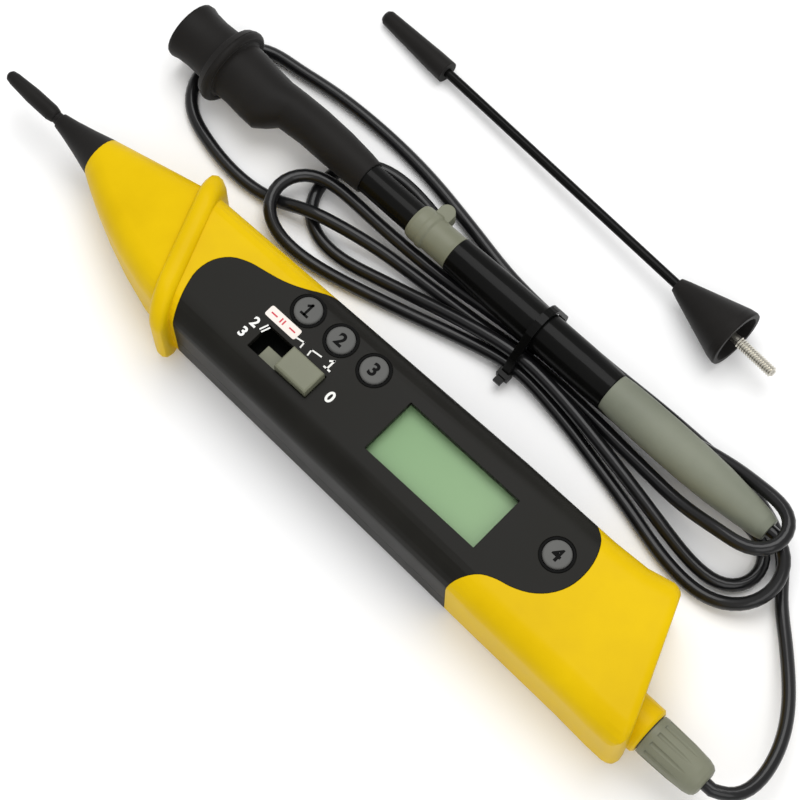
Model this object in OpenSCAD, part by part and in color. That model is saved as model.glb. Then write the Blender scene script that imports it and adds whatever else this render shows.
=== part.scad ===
// Pen multimeter with its tied-up test lead, clip probe and long-reach extension probe.
// X runs along the meter from the tip to the tail, Y across it, Z up out of the face.
// The origin is on the flat back, under the middle of the body. All lengths are in millimetres.

/* [Meter body] */
// Width of the case just behind the guard ring
case_w_front = 28.4; // [27:0.2:31]
// Width of the case where the tail cover starts
case_w_rear = 32.6; // [31:0.2:36]
// Depth of the case from its back to its face
case_h = 24; // [23.5:0.5:27]
// Wall of the shells
wall = 1.8; // [1.4:0.1:2.2]
// Radius along the edges of the face
face_r = 6; // [5:0.5:7]
// Radius along the edges of the back
back_r = 4; // [3:0.5:4.5]
// Height of the line where the front and rear case meet
parting_z = 10; // [9:0.5:11]
// Distance from the origin forward to the base of the tip cone
front_len = 74.5; // [72:0.5:80]
// Distance from the origin forward to the guard ring, on the centre line
ring_back = 41; // [39:0.5:43]
// Distance from the origin back to the end of the tail, on the centre line
rear_len = 97; // [95:0.5:102]
// Slant of the guard ring and of the tail end
slant = 23; // [18:1:26]

/* [Tip and guard] */
// Offset of the tip from the centre line
tip_y = 4.4; // [2:0.2:5]
// Height of the tip above the back
tip_z = 12; // [11:0.5:13]
// Radius of the tip cone at its base
cone_base_r = 5.2; // [4.6:0.2:6]
// Radius of the tip cone at its front
cone_tip_r = 1.95; // [1.8:0.05:2.4]
// Length of the tip cone
cone_len = 13.5; // [11:0.5:16]
// Length of the insulating sheath over the needle
sheath_len = 16.2; // [12:0.2:20]
// Radius of the sheath
sheath_r = 2; // [1.8:0.05:2.3]
// Radius of the contact needle
needle_r = 1; // [0.8:0.05:1.1]
// Width of the guard ring along the body
ring_t = 5; // [4:0.2:6]
// How far the guard ring stands out at the sides
ring_side = 4.8; // [3:0.2:5.4]
// How far the guard ring stands out over the face
ring_top = 2.5; // [1.5:0.1:3]

/* [Face] */
// Length of the display opening
lcd_l = 31.8; // [28:0.2:33]
// Width of the display opening
lcd_w = 14.2; // [12:0.2:15]
// Distance from the origin back to the middle of the display
lcd_x = 36.2; // [35:0.2:37]
// Radius of the push buttons
button_r = 3.2; // [2.8:0.1:3.4]
// Gap between a button and its hole
button_gap = 0.2; // [0.1:0.05:0.3]
// Height of the buttons over the face
button_proud = 0.5; // [0.3:0.1:1]
// Distance between the buttons in the row
button_pitch = 9.95; // [9.6:0.05:10.4]
// Length of the grip block of the slide switch
knob_l = 9.2; // [8:0.2:9.6]
// Width of the grip block of the slide switch
knob_w = 6.2; // [5:0.2:6.6]
// Height of the grip block over the face
knob_h = 2.4; // [1.5:0.1:3]
// Travel of the slide switch
knob_travel = 7.8; // [6:0.2:8]

/* [Inside] */
// Thickness of the circuit board
board_t = 1.6; // [1:0.2:1.6]
// Depth of the underside of the circuit board below the face
board_drop = 10.1; // [9.8:0.1:10.3]
// Length of a cell
cell_l = 44.5; // [42:0.5:45]
// Radius of the fuse
fuse_r = 2.5; // [2:0.1:2.6]
// Length of the fuse
fuse_l = 20; // [18:0.5:20]
// Radius of the screw shanks
screw_r = 1.1; // [0.9:0.05:1.2]

/* [Lead jack and plug] */
// Offset of the jack from the centre line
jack_y = -7.5; // [-8:0.1:-7]
// Height of the jack above the back
jack_z = 12; // [11.5:0.1:12.5]
// Radius of the collar round the jack
collar_r = 5.7; // [5.3:0.1:6.2]
// Distance from the end of the tail, on the centre line, back to the mouth of the collar
collar_out = 7; // [6:0.2:8]
// Radius of the plug pin
plug_pin_r = 2; // [1.8:0.05:2]
// Radius of the ribbed plug sleeve at its collar end
sleeve_r = 4.9; // [4.6:0.1:5.2]
// Length of the ribbed plug sleeve
sleeve_len = 15.2; // [13:0.2:15.2]
// Number of ribs round the plug sleeve
sleeve_ribs = 12; // [8:1:14]

/* [Lead] */
// Diameter of the lead
lead_d = 3.1; // [2.8:0.05:3.2]
// Width of the tie round the hank
tie_w = 2; // [1.8:0.2:4]
// Thickness of the tie
tie_t = 1; // [0.8:0.1:1.1]

/* [Hand probe] */
// Radius of the handle where the grip starts
handle_r = 4.9; // [4.7:0.05:4.95]
// Radius of the barrel in front of the collar
barrel_r = 3.7; // [3.5:0.05:3.8]
// Radius of the collar between barrel and handle
probe_collar_r = 4.4; // [4.2:0.05:4.45]
// Largest radius of the soft grip
grip_r = 5.1; // [4.9:0.05:5.15]
// Half width of the flange of the clip boot
flange_r = 10; // [9.2:0.1:10]
// Wall of the clip boot
boot_wall = 1.3; // [1:0.1:1.5]
// Thickness of the clip jaws, from one face to the other
jaw_h = 5; // [4:0.2:6]

/* [Extension probe] */
// Length of the rubber cap
ext_cap_l = 21.5; // [18:0.5:24]
// Radius of the cap at its open end
ext_cap_r = 2.8; // [2.5:0.1:3.2]
// Radius of the rod
ext_rod_r = 1.15; // [1:0.05:1.4]
// Length of rod that shows between cap and cone
ext_rod_l = 76; // [60:1:90]
// Length of the cone
ext_cone_l = 18.5; // [15:0.5:22]
// Radius of the cone at its open end
ext_cone_r = 7.5; // [6.5:0.1:8.5]
// Radius of the metal pin
ext_pin_r = 1.1; // [0.8:0.05:1.3]
// Length of pin that stands out of the cone
ext_pin_l = 11.5; // [8:0.5:14]

/* [Hidden] */

// Overrun of every cut
over = 1;
// Gap between two pieces of the case that meet
seam = 0.1;
// Clearance round a pin or shank in its hole
slip = 0.05;
// Clearance between pieces that seat on each other
seat = 0.15;
// Fineness of the round pieces
$fn = 48;

// Colours, as the photograph shows them
yellow = [0.93, 0.78, 0.1];
black = [0.16, 0.16, 0.15];
rubber_black = [0.12, 0.12, 0.12];
grey = [0.56, 0.58, 0.53];
key_grey = [0.5, 0.5, 0.49];
metal = [0.78, 0.76, 0.7];
brass = [0.8, 0.65, 0.3];
glass = [0.6, 0.7, 0.55];
board_green = [0.1, 0.4, 0.22];

// Places along the body
nose_x = -front_len;
ring_x = -ring_back;
tail_x = 54;
slant_tan = tan(slant);
hw_front = case_w_front / 2;
hw_rear = case_w_rear / 2;
tail_flare_left = 0.8;
tail_flare_right = 2.1;
flare_len = 9;
end_r = 2.2;
tail_round_left = 3;
corner_points = 6;

// Steps of the loft, as shares of each stretch
nose_shares = [0, 0.12, 0.26, 0.42, 0.6, 0.8, 1];
end_angle_shares = [0.34, 0.67, 1];

function lerp(a, b, t) = a + (b - a) * t;

// Half width of the case at a place along the straight part of the body
function half_w(x) = lerp(hw_front, hw_rear, (x - ring_x) / (tail_x - ring_x));

// Rounded section in the YZ plane, started at the lower right corner, as [y, z]
function corner(cy, cz, r, a0) =
    [for (i = [0:corner_points]) let (a = a0 + 90 * i / corner_points) [cy + r * cos(a), cz + r * sin(a)]];
function section(y0, y1, z0, z1, rb, rt) = concat(
    corner(y1 - rb, z0 + rb, rb, -90),
    corner(y1 - rt, z1 - rt, rt, 0),
    corner(y0 + rt, z1 - rt, rt, 90),
    corner(y0 + rb, z0 + rb, rb, 180));

// One slanted ring of points: place, slant, section, and how far it is drawn in
function slice(x, k, y0, y1, z0, z1, rb, rt, inset) =
    [for (p = section(y0 + inset, y1 - inset, z0 + inset, z1 - inset, rb - inset, rt - inset))
        [x - k * p[0], p[0], p[1]]];

// The nose swells from the round base of the cone to the case behind the guard ring
function nose_slice(t, inset) = let (
    swell = 1 - pow(1 - t, 1.45),
    x = lerp(nose_x + inset, ring_x, t),
    r = cone_base_r)
    slice(x, slant_tan * t,
        lerp(tip_y - r, -hw_front, swell), lerp(tip_y + r, hw_front, t),
        lerp(tip_z - r, 0, swell), lerp(tip_z + r, case_h, lerp(t, swell, 0.5)),
        lerp(r, back_r, t), lerp(r, face_r, t), inset);

// The straight body, with the flare of the tail near its end
function body_slice(x, left, right, inset) =
    slice(x, slant_tan, -half_w(min(x, tail_x)) - left, half_w(min(x, tail_x)) + right,
        0, case_h, back_r, face_r, inset);

function body_rings(inset) = concat(
    [for (t = nose_shares) nose_slice(t, inset)],
    [body_slice(0, 0, 0, inset), body_slice(tail_x, 0, 0, inset),
        body_slice(rear_len - flare_len * 2, tail_flare_left / 2, 0, inset),
        body_slice(rear_len - flare_len, tail_flare_left, tail_flare_right / 4, inset)],
    inset > 0
        ? [body_slice(rear_len - inset, tail_flare_left, tail_flare_right, inset)]
        : concat([body_slice(rear_len - end_r, tail_flare_left, tail_flare_right, 0)],
            [for (s = end_angle_shares) body_slice(rear_len - end_r * (1 - sin(90 * s)),
                tail_flare_left - tail_round_left * (1 - cos(90 * s)), tail_flare_right,
                end_r * (1 - cos(90 * s)) / 2)]));

// Skin over a stack of rings that have the same number of points, closed by a fan at each end
module skin(rings) {
    n = len(rings[0]);
    m = len(rings);
    polyhedron(
        points = [for (r = rings) for (p = r) p],
        faces = concat(
            [for (j = [0:m - 2]) for (i = [0:n - 1]) [j * n + i, (j + 1) * n + i, j * n + (i + 1) % n]],
            [for (j = [0:m - 2]) for (i = [0:n - 1])
                [j * n + (i + 1) % n, (j + 1) * n + i, (j + 1) * n + (i + 1) % n]],
            [for (i = [1:n - 2]) [0, i, i + 1]],
            [for (i = [1:n - 2]) [(m - 1) * n, (m - 1) * n + i + 1, (m - 1) * n + i]]),
        convexity = 6);
}

module body_solid() {
    skin(body_rings(0));
}

module body_hollow() {
    skin(body_rings(wall));
}

// A smooth curve through hand-set points, with tangents weighted by the lengths of the runs
function unit(v) = v / norm(v);
function tangent(p, i) = let (n = len(p))
    i == 0 ? unit(p[1] - p[0])
    : i == n - 1 ? unit(p[n - 1] - p[n - 2])
    : let (la = norm(p[i] - p[i - 1]), lb = norm(p[i + 1] - p[i]))
        (unit(p[i] - p[i - 1]) * lb + unit(p[i + 1] - p[i]) * la) / (la + lb);
function smooth_run(p, i, steps) = let (l = norm(p[i + 1] - p[i]), a = tangent(p, i), b = tangent(p, i + 1))
    [for (k = [0:steps - 1]) let (t = k / steps)
        (2 * pow(t, 3) - 3 * pow(t, 2) + 1) * p[i] + (pow(t, 3) - 2 * pow(t, 2) + t) * l * a
        + (3 * pow(t, 2) - 2 * pow(t, 3)) * p[i + 1] + (pow(t, 3) - pow(t, 2)) * l * b];
function smooth(p, steps) = concat([for (i = [0:len(p) - 2]) each smooth_run(p, i, steps)], [p[len(p) - 1]]);

// Outline of the boundary between nose cover and black case, seen from above:
// shares of the edge length back from its foremost point, and of the half width
nose_edge_x = -34.6;
nose_edge_l = 25.6;
nose_edge_shares = [[0.14, -1.3], [0.14, -1.02], [0.1, -0.8], [0.04, -0.51], [0, -0.2], [0.03, 0.1],
    [0.12, 0.32], [0.27, 0.46], [0.44, 0.53], [0.6, 0.6], [0.78, 0.74], [0.95, 0.96], [1.2, 1.3]];
// The same for the boundary with the tail cover, forward from its rearmost point
tail_edge_x = 72.8;
tail_edge_l = 19;
tail_edge_shares = [[1.08, -1.3], [1.04, -1], [0.96, -0.8], [0.82, -0.6], [0.66, -0.51], [0.5, -0.46],
    [0.3, -0.35], [0.14, -0.18], [0.03, 0.06], [0, 0.31], [0.04, 0.6], [0.14, 0.82], [0.32, 1], [0.5, 1.3]];
edge_steps = 3;
nose_edge = smooth([for (s = nose_edge_shares) [nose_edge_x + s[0] * nose_edge_l, s[1] * hw_front]], edge_steps);
tail_edge = smooth([for (s = tail_edge_shares) [tail_edge_x - s[0] * tail_edge_l, s[1] * hw_rear]], edge_steps);

// Prism over the black case, between the two boundaries
module middle_prism(grow) {
    translate([0, 0, -over])
        linear_extrude(case_h + 2 * over)
            polygon(concat([for (p = nose_edge) p + [-grow, 0]],
                [for (i = [len(tail_edge) - 1:-1:0]) tail_edge[i] + [grow, 0]]));
}

module box(x0, x1, y0, y1, z0, z1) {
    translate([x0, y0, z0]) cube([x1 - x0, y1 - y0, z1 - z0]);
}

// A round piece along X, from a list of [x, radius]
module turned(profile, y, z) {
    translate([0, y, z])
        rotate([0, 90, 0])
            rotate_extrude()
                polygon(concat([[0, profile[0][0]]], [for (p = profile) [p[1], p[0]]],
                    [[0, profile[len(profile) - 1][0]]]));
}

// A round pin or bore along X
module rod_x(x0, x1, y, z, r) {
    translate([x0, y, z]) rotate([0, 90, 0]) cylinder(h = x1 - x0, r = r);
}

// Half space above or below the parting line, over the black case
module above_parting() {
    box(-front_len, rear_len, -case_w_rear, case_w_rear, parting_z + seam / 2, case_h + over);
}

module below_parting() {
    box(-front_len, rear_len, -case_w_rear, case_w_rear, -over, parting_z - seam / 2);
}

// Places on the face
lcd_y = 0.45;
row_x = -0.4;
row_y = 7.3;
input_button_x = 65.8;
input_button_y = 4.4;
button_places = [[row_x - button_pitch, row_y], [row_x, row_y], [row_x + button_pitch, row_y],
    [input_button_x, input_button_y]];
button_dish = 0.85;
button_dish_depth = 0.5;
knob_x = -6.2;
knob_y = -4.2;
knob_gap = 0.25;
plate_lead = 5.2;
plate_t = 1.4;
face_in = case_h - wall;
board_z = case_h - board_drop;
collar_x = rear_len + collar_out;

// Places of the two screws that hold the halves of the case together
screw_places = [[-25.5, -8.2], [60.5, 9.6]];
post_r = 2.5;
screw_head_r = 2.1;
screw_head_t = 1.5;
screw_sink = 0.8;
screw_reach = 4.5;

// Cell compartment
cell_x = 5.8;
cell_gap = 0.3;
cell_floor = 2.4;
cell_headroom = 1;
cover_x0 = 1.5;
cover_inset = 3.2;
cover_w = case_w_front - 2 * cover_inset;
cover_gap = 0.2;
// The cells fill the room between the floor and the board, and between the sides of the opening
cell_r = min((board_z - cell_floor - cell_headroom) / 2, (cover_w - 2 * cover_gap - 2 * cell_gap) / 4);
cell_pitch = 2 * cell_r + cell_gap;
cell_z = cell_floor + cell_r;
contact_t = 0.4;
contact_gap = 0.2;
rib_t = 1.2;
rib_gap = 2.4;
rib_top = board_z - rib_gap;
cover_boss_r = 2.3;
cover_screw_x = cell_x + cell_l + cover_boss_r + contact_gap / 2;
cover_x1 = cover_screw_x + screw_head_r + 3 * cover_gap;
cover_screw_l = 7;

module screw_posts(z0, z1) {
    for (p = screw_places) translate([p[0], p[1], z0]) cylinder(h = z1 - z0, r = post_r);
}

module screw_bores(z0, z1, r) {
    for (p = screw_places) translate([p[0], p[1], z0]) cylinder(h = z1 - z0, r = r);
}

module front_case() {
    color(black)
        difference() {
            union() {
                intersection() {
                    difference() {
                        body_solid();
                        body_hollow();
                    }
                    middle_prism(-seam / 2);
                    above_parting();
                }
                screw_posts(board_z + board_t + seam, face_in + wall / 2);
            }
            box(lcd_x - lcd_l / 2, lcd_x + lcd_l / 2, lcd_y - lcd_w / 2, lcd_y + lcd_w / 2,
                face_in - over, case_h + over);
            for (p = button_places) {
                translate([p[0], p[1], face_in - over])
                    cylinder(h = wall + 2 * over, r = button_r + button_gap);
                translate([p[0], p[1], case_h - button_dish_depth])
                    cylinder(h = over, r = button_r + button_dish);
                // Room for the shoulder of the button where the ceiling curves down
                translate([p[0], p[1], face_in - wall])
                    cylinder(h = wall, r = button_r + button_shoulder + shoulder_gap);
            }
            box(knob_x - knob_travel - knob_gap, knob_x + knob_l + knob_gap,
                knob_y - knob_w / 2 - knob_gap, knob_y + knob_w / 2 + knob_gap,
                face_in - over, case_h + over);
            screw_bores(board_z, face_in - wall / 4, screw_r + slip);
        }
}

module rear_case() {
    color(black)
        difference() {
            union() {
                intersection() {
                    difference() {
                        body_solid();
                        body_hollow();
                    }
                    middle_prism(-seam / 2);
                    below_parting();
                }
                screw_posts(wall / 2, board_z - seam);
                // Cross ribs that carry the cell contacts
                for (x = [cell_x - contact_gap - contact_t - rib_t, cell_x + cell_l + contact_gap + contact_t])
                    box(x, x + rib_t, -cell_pitch, cell_pitch, wall / 2, rib_top);
                translate([cover_screw_x, 0, wall / 2]) cylinder(h = cover_screw_l + wall, r = cover_boss_r);
            }
            box(cover_x0, cover_x1, -cover_w / 2, cover_w / 2, -over, wall / 2);
            // The opening is wide enough for both cells
            box(cell_x - contact_gap, cell_x + cell_l + contact_gap, -cover_w / 2 + cover_gap,
                cover_w / 2 - cover_gap, -over, wall + over);
            translate([cover_screw_x, 0, -over])
                cylinder(h = cover_screw_l + wall / 2 + over, r = screw_r + slip);
            screw_bores(-over, board_z + over, screw_r + slip);
            screw_bores(-over, screw_sink + screw_head_t, screw_head_r + slip);
        }
}

// Guard ring: a rounded band that follows the slanted section of the body
ring_angles = [0, 25, 50, 75, 105, 130, 155, 180];
module guard_ring() {
    skin([for (a = ring_angles) let (
        x = ring_x - ring_t / 2 * cos(a) / cos(slant),
        side = ring_side * pow(sin(a), 0.6),
        top = ring_top * pow(sin(a), 0.6))
        slice(x, slant_tan, -hw_front + wall / 2 - side, hw_front - wall / 2 + side,
            0, case_h - wall / 2 + top, back_r, face_r + side / 2, 0)]);
}

module nose_cover() {
    color(yellow)
        difference() {
            union() {
                body_solid();
                guard_ring();
            }
            body_hollow();
            middle_prism(seam / 2);
            box(0, rear_len + case_w_rear, -case_w_rear, case_w_rear, -over, case_h + over);
            rod_x(nose_x - over, nose_x + wall + over, tip_y, tip_z, socket_r + slip);
        }
}

// Tip: cone, sheath, needle and the socket that holds them
socket_r = 1.9;
socket_len = 30;
socket_front = 6;
neck_len = 1.2;
neck_r = 1.5;
sheath_wall_end = 2.4;
needle_out = sheath_len - sheath_wall_end;
cone_x = nose_x - cone_len;
cone_profile_shares = [[0, 0], [0.25, 0.2], [0.6, 0.55], [1, 1]];

module tip_cone() {
    color(rubber_black)
        difference() {
            union() {
                turned([for (s = cone_profile_shares)
                    [cone_x + s[0] * cone_len, lerp(cone_tip_r, cone_base_r, s[1])]], tip_y, tip_z);
                rod_x(cone_x - neck_len, cone_x + over, tip_y, tip_z, neck_r);
            }
            rod_x(cone_x - neck_len - over, nose_x + over, tip_y, tip_z, needle_r + slip);
            rod_x(nose_x - socket_front, nose_x + over, tip_y, tip_z, socket_r + slip);
        }
}

module tip_sheath() {
    color(rubber_black)
        difference() {
            turned([[cone_x - neck_len - sheath_len, 0.01 * sheath_r],
                [cone_x - neck_len - sheath_len + 0.05 * sheath_r, 0.4 * sheath_r],
                [cone_x - neck_len - sheath_len + 0.3 * sheath_r, 0.66 * sheath_r],
                [cone_x - neck_len - sheath_len + sheath_r, 0.8 * sheath_r],
                [cone_x - neck_len - sheath_len / 2, sheath_r],
                [cone_x - neck_len - sheath_r, sheath_r],
                [cone_x - neck_len - 0.25 * sheath_r - seat, 0.85 * sheath_r],
                [cone_x - neck_len - seat, 0.72 * sheath_r]], tip_y, tip_z);
            rod_x(cone_x - neck_len - needle_out - seat, cone_x, tip_y, tip_z, needle_r + slip);
        }
}

module tip_needle() {
    color(metal)
        turned([[cone_x - neck_len - needle_out, 0.1 * needle_r],
            [cone_x - neck_len - needle_out + 3 * needle_r, needle_r],
            [nose_x + socket_front, needle_r]], tip_y, tip_z);
}

module needle_socket() {
    color(brass)
        difference() {
            rod_x(nose_x - socket_front + seat, nose_x - socket_front + socket_len, tip_y, tip_z, socket_r);
            rod_x(nose_x - socket_front - over, nose_x + socket_front + seat, tip_y, tip_z, needle_r + slip);
        }
}

// Display: window behind the opening, liquid crystal cell, and the rubber strips that connect it
window_t = 1.1;
window_lip = 1.3;
cell_glass_t = 2.6;
strip_w = 1.6;
strip_inset = 0.9;
display_z = face_in - window_t - cell_glass_t - 2 * seam;

module display_slab(lip, z0, z1) {
    box(lcd_x - lcd_l / 2 - lip, lcd_x + lcd_l / 2 + lip, lcd_y - lcd_w / 2 - lip, lcd_y + lcd_w / 2 + lip, z0, z1);
}

module display_window() {
    color(glass) display_slab(window_lip, face_in - seam - window_t, face_in - seam);
}

module display_cell() {
    color([0.62, 0.72, 0.52]) display_slab(window_lip, display_z, display_z + cell_glass_t);
}

module contact_strips() {
    color(rubber_black)
        for (side = [-1, 1])
            translate([lcd_x - lcd_l / 2, lcd_y + side * (lcd_w / 2 - strip_inset) - strip_w / 2, board_z + board_t])
                cube([lcd_l, strip_w, display_z - board_z - board_t]);
}

// Circuit board with a tongue that reaches into the nose
board_w = 23.2;
board_x0 = -38;
board_x1 = 70;
tongue_w = 7;
tongue_len = 22;

module circuit_board() {
    color(board_green)
        difference() {
            translate([0, 0, board_z])
                linear_extrude(board_t)
                    polygon([[board_x0 - tongue_len, tip_y - tongue_w / 2], [board_x0, -board_w / 2 + tongue_w / 3],
                        [board_x0 + tongue_w, -board_w / 2], [board_x1 - tongue_w, -board_w / 2],
                        [board_x1, -board_w / 4], [board_x1, board_w / 4], [board_x1 - tongue_w, board_w / 2],
                        [board_x0 + tongue_w, board_w / 2], [board_x0, board_w / 2 - tongue_w / 3],
                        [board_x0 - tongue_len, tip_y + tongue_w / 2]]);
            screw_bores(board_z - over, board_z + board_t + over, screw_r + seat);
            // Groove that the needle socket lies in
            rod_x(board_x0 - tongue_len - over, nose_x - socket_front + socket_len + over, tip_y, tip_z,
                socket_r + slip);
        }
}

// Slide switch: the block that the thumb moves, on a plate under the face
module mode_switch() {
    color(grey)
        union() {
            box(knob_x, knob_x + knob_l, knob_y - knob_w / 2, knob_y + knob_w / 2,
                face_in - seat - plate_t, case_h + knob_h);
            box(knob_x - plate_lead, knob_x + knob_l, knob_y - knob_w / 2 - over / 2, knob_y + over / 4,
                face_in - seat - plate_t, face_in - seat);
        }
}

// Carrier under the switch, with its two wiper springs, that rides over the board
module wiper_plate() {
    color(brass)
        for (side = [-1, 1])
            box(knob_x + knob_l / 4, knob_x + 3 * knob_l / 4, knob_y + side * knob_w / 4 - wiper_w / 2,
                knob_y + side * knob_w / 4 + wiper_w / 2, board_z + board_t + seat, face_in - seat - plate_t);
}
wiper_w = 1.2;

// Push buttons: rubber caps with a shoulder under the face
button_shoulder = 0.6;
button_shoulder_t = 0.8;
button_travel = 0.7;
shoulder_gap = 0.3;
dome_h = 1.6;

module push_button(p) {
    color(key_grey)
        translate([p[0], p[1], 0]) {
            translate([0, 0, board_z + board_t + dome_h + button_travel + seat])
                cylinder(h = face_in - seat - board_z - board_t - dome_h - button_travel - seat, r = button_r / 2);
            translate([0, 0, face_in - seat - button_shoulder_t])
                cylinder(h = button_shoulder_t, r = button_r + button_shoulder);
            rotate_extrude()
                polygon([[0, face_in - seat - seam], [button_r, face_in - seat - seam],
                    [button_r, case_h + button_proud - 0.12 * button_r],
                    [0.96 * button_r, case_h + button_proud - 0.04 * button_r],
                    [0.88 * button_r, case_h + button_proud], [0, case_h + button_proud]]);
        }
}

module hold_button() { push_button(button_places[0]); }
module range_button() { push_button(button_places[1]); }
module select_button() { push_button(button_places[2]); }
module input_button() { push_button(button_places[3]); }

module key_domes() {
    color(metal)
        for (p = button_places)
            translate([p[0], p[1], board_z + board_t])
                cylinder(h = dome_h, r1 = button_r, r2 = 0.6 * button_r);
}

// Fuse under the board, in two spring clips
fuse_x = -20;
fuse_y = 4.5;
fuse_z = board_z - 1.2 - fuse_r;
fuse_cap_l = 5;
clip_t = 0.4;
clip_w = 4;

module fuse() {
    color(metal)
        union() {
            rod_x(fuse_x, fuse_x + fuse_l, fuse_y, fuse_z, 0.9 * fuse_r);
            rod_x(fuse_x, fuse_x + fuse_cap_l, fuse_y, fuse_z, fuse_r);
            rod_x(fuse_x + fuse_l - fuse_cap_l, fuse_x + fuse_l, fuse_y, fuse_z, fuse_r);
        }
}

module fuse_clips() {
    color(brass)
        for (x = [fuse_x + fuse_cap_l / 2, fuse_x + fuse_l - fuse_cap_l / 2])
            difference() {
                union() {
                    rod_x(x - clip_w / 2, x + clip_w / 2, fuse_y, fuse_z, fuse_r + clip_t);
                    box(x - clip_w / 2, x + clip_w / 2, fuse_y - fuse_r / 2, fuse_y + fuse_r / 2, fuse_z, board_z);
                }
                rod_x(x - clip_w, x + clip_w, fuse_y, fuse_z, fuse_r + slip);
                box(x - clip_w, x + clip_w, fuse_y - fuse_r / 2, fuse_y + fuse_r / 2,
                    fuse_z - 2 * fuse_r, fuse_z - fuse_r / 2);
            }
}

// Two cells side by side, nubs in opposite directions
nub_r = 1.9;
nub_l = 0.8;
module one_cell(flip) {
    rotate([0, 0, flip])
        union() {
            rod_x(-cell_l / 2, cell_l / 2 - nub_l, 0, 0, cell_r);
            rod_x(-cell_l / 2, cell_l / 2, 0, 0, nub_r);
        }
}

module cells() {
    color([0.3, 0.32, 0.36])
        for (side = [-1, 1])
            translate([cell_x + cell_l / 2, side * cell_pitch / 2, cell_z])
                one_cell(side > 0 ? 0 : 180);
}

module cell_contacts() {
    color(metal) {
        box(cell_x - contact_gap - contact_t, cell_x - contact_gap, -cell_pitch + over, cell_pitch - over,
            cell_z - cell_r / 2, cell_z + cell_r / 2);
        for (side = [-1, 1])
            box(cell_x + cell_l + contact_gap, cell_x + cell_l + contact_gap + contact_t,
                side * cell_pitch / 2 - cell_r / 2, side * cell_pitch / 2 + cell_r / 2,
                cell_z - cell_r / 2, cell_z + cell_r / 2);
    }
}

// Battery cover: a plate set into the back, with ribs that hold the cells and thumb grooves
groove_w = 1;
groove_count = 5;
module battery_cover() {
    color(black)
        difference() {
            union() {
                box(cover_x0 + cover_gap, cover_x1 - cover_gap, -cover_w / 2 + cover_gap, cover_w / 2 - cover_gap,
                    0, wall / 2 - seat);
                box(cell_x + cover_gap, cell_x + cell_l - cover_gap, -cover_w / 2 + 2 * cover_gap,
                    cover_w / 2 - 2 * cover_gap, 0, wall);
            }
            for (i = [0:groove_count - 1])
                box(cover_x0 + 2 * groove_w * (i + 1), cover_x0 + 2 * groove_w * (i + 1) + groove_w,
                    -cover_w / 4, cover_w / 4, -over, wall / 4);
            translate([cover_screw_x, 0, -over]) cylinder(h = 2 * over + wall, r = screw_r + seat);
            translate([cover_screw_x, 0, -over]) cylinder(h = over + wall / 4, r = screw_head_r + seat);
        }
}

module machine_screw(z_head, shank_l, head_t) {
    difference() {
        union() {
            translate([0, 0, z_head]) cylinder(h = head_t, r = screw_head_r);
            translate([0, 0, z_head]) cylinder(h = head_t + shank_l, r = screw_r);
        }
        // Cross recess
        for (a = [0, 90])
            rotate([0, 0, a])
                box(-screw_r, screw_r, -screw_r / 4, screw_r / 4, z_head - over, z_head + head_t / 2);
    }
}

module cover_screw() {
    color(metal)
        translate([cover_screw_x, 0, 0])
            machine_screw(0, cover_screw_l - wall, wall / 4 - seam);
}

module case_screws() {
    color(metal)
        for (p = screw_places)
            translate([p[0], p[1], 0])
                machine_screw(screw_sink, board_z + board_t + screw_reach - screw_sink - screw_head_t,
                    screw_head_t - seam);
}

// Tail cover with the collar round the lead jack
collar_bore_r = 4.2;
collar_bore_l = 14;
boss_back = 4;
jack_r = 3;
jack_out = 4;
jack_gap = 10;
jack_len = collar_x - jack_out - board_x1 - jack_gap;

module tail_cover() {
    color(yellow)
        difference() {
            union() {
                difference() {
                    body_solid();
                    body_hollow();
                }
                turned([[collar_x - collar_bore_l - boss_back, collar_r], [collar_x - 0.1 * collar_r, collar_r],
                    [collar_x, 0.9 * collar_r]], jack_y, jack_z);
            }
            middle_prism(seam / 2);
            box(-front_len - over, tail_x - tail_edge_l, -case_w_rear, case_w_rear, -over, case_h + over);
            rod_x(collar_x - collar_bore_l, collar_x + over, jack_y, jack_z, collar_bore_r);
            rod_x(collar_x - collar_bore_l - boss_back - over, collar_x, jack_y, jack_z, jack_r + slip);
        }
}

module lead_jack() {
    color(brass)
        difference() {
            rod_x(collar_x - jack_out - jack_len, collar_x - jack_out, jack_y, jack_z, jack_r);
            rod_x(collar_x - jack_out - jack_len + jack_r, collar_x, jack_y, jack_z, plug_pin_r + slip);
        }
}

// Plug: ribbed sleeve outside, thin shroud inside the collar, split pin in the middle
sleeve_gap = 0.3;
sleeve_x = collar_x + sleeve_gap;
shroud_r = 3.95;
shroud_bore_r = jack_r + seat;
shroud_in = 10;
sleeve_end_shares = [[0, 0.98], [0.06, 1], [0.55, 0.97], [0.84, 0.9], [0.93, 0.82], [0.98, 0.7], [1, 0.5]];
rib_groove_r = 0.55;
pin_reach_share = 0.535;
pin_in = jack_out + sleeve_gap + pin_reach_share * jack_len;

module plug_sleeve() {
    color(grey)
        difference() {
            union() {
                turned([for (s = sleeve_end_shares) [sleeve_x + s[0] * sleeve_len, s[1] * sleeve_r]], jack_y, jack_z);
                rod_x(sleeve_x - shroud_in, sleeve_x + over, jack_y, jack_z, shroud_r);
            }
            for (i = [0:sleeve_ribs - 1])
                translate([0, jack_y, jack_z])
                    rotate([360 * i / sleeve_ribs, 0, 0])
                        rod_x(sleeve_x + sleeve_r / 3, sleeve_x + sleeve_len - sleeve_r / 3, 0,
                            sleeve_r + 0.3 * rib_groove_r, rib_groove_r);
            rod_x(sleeve_x - shroud_in - over, sleeve_x, jack_y, jack_z, shroud_bore_r);
            rod_x(sleeve_x - over, sleeve_x + sleeve_len / 2, jack_y, jack_z, plug_pin_r + slip);
        }
}

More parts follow.
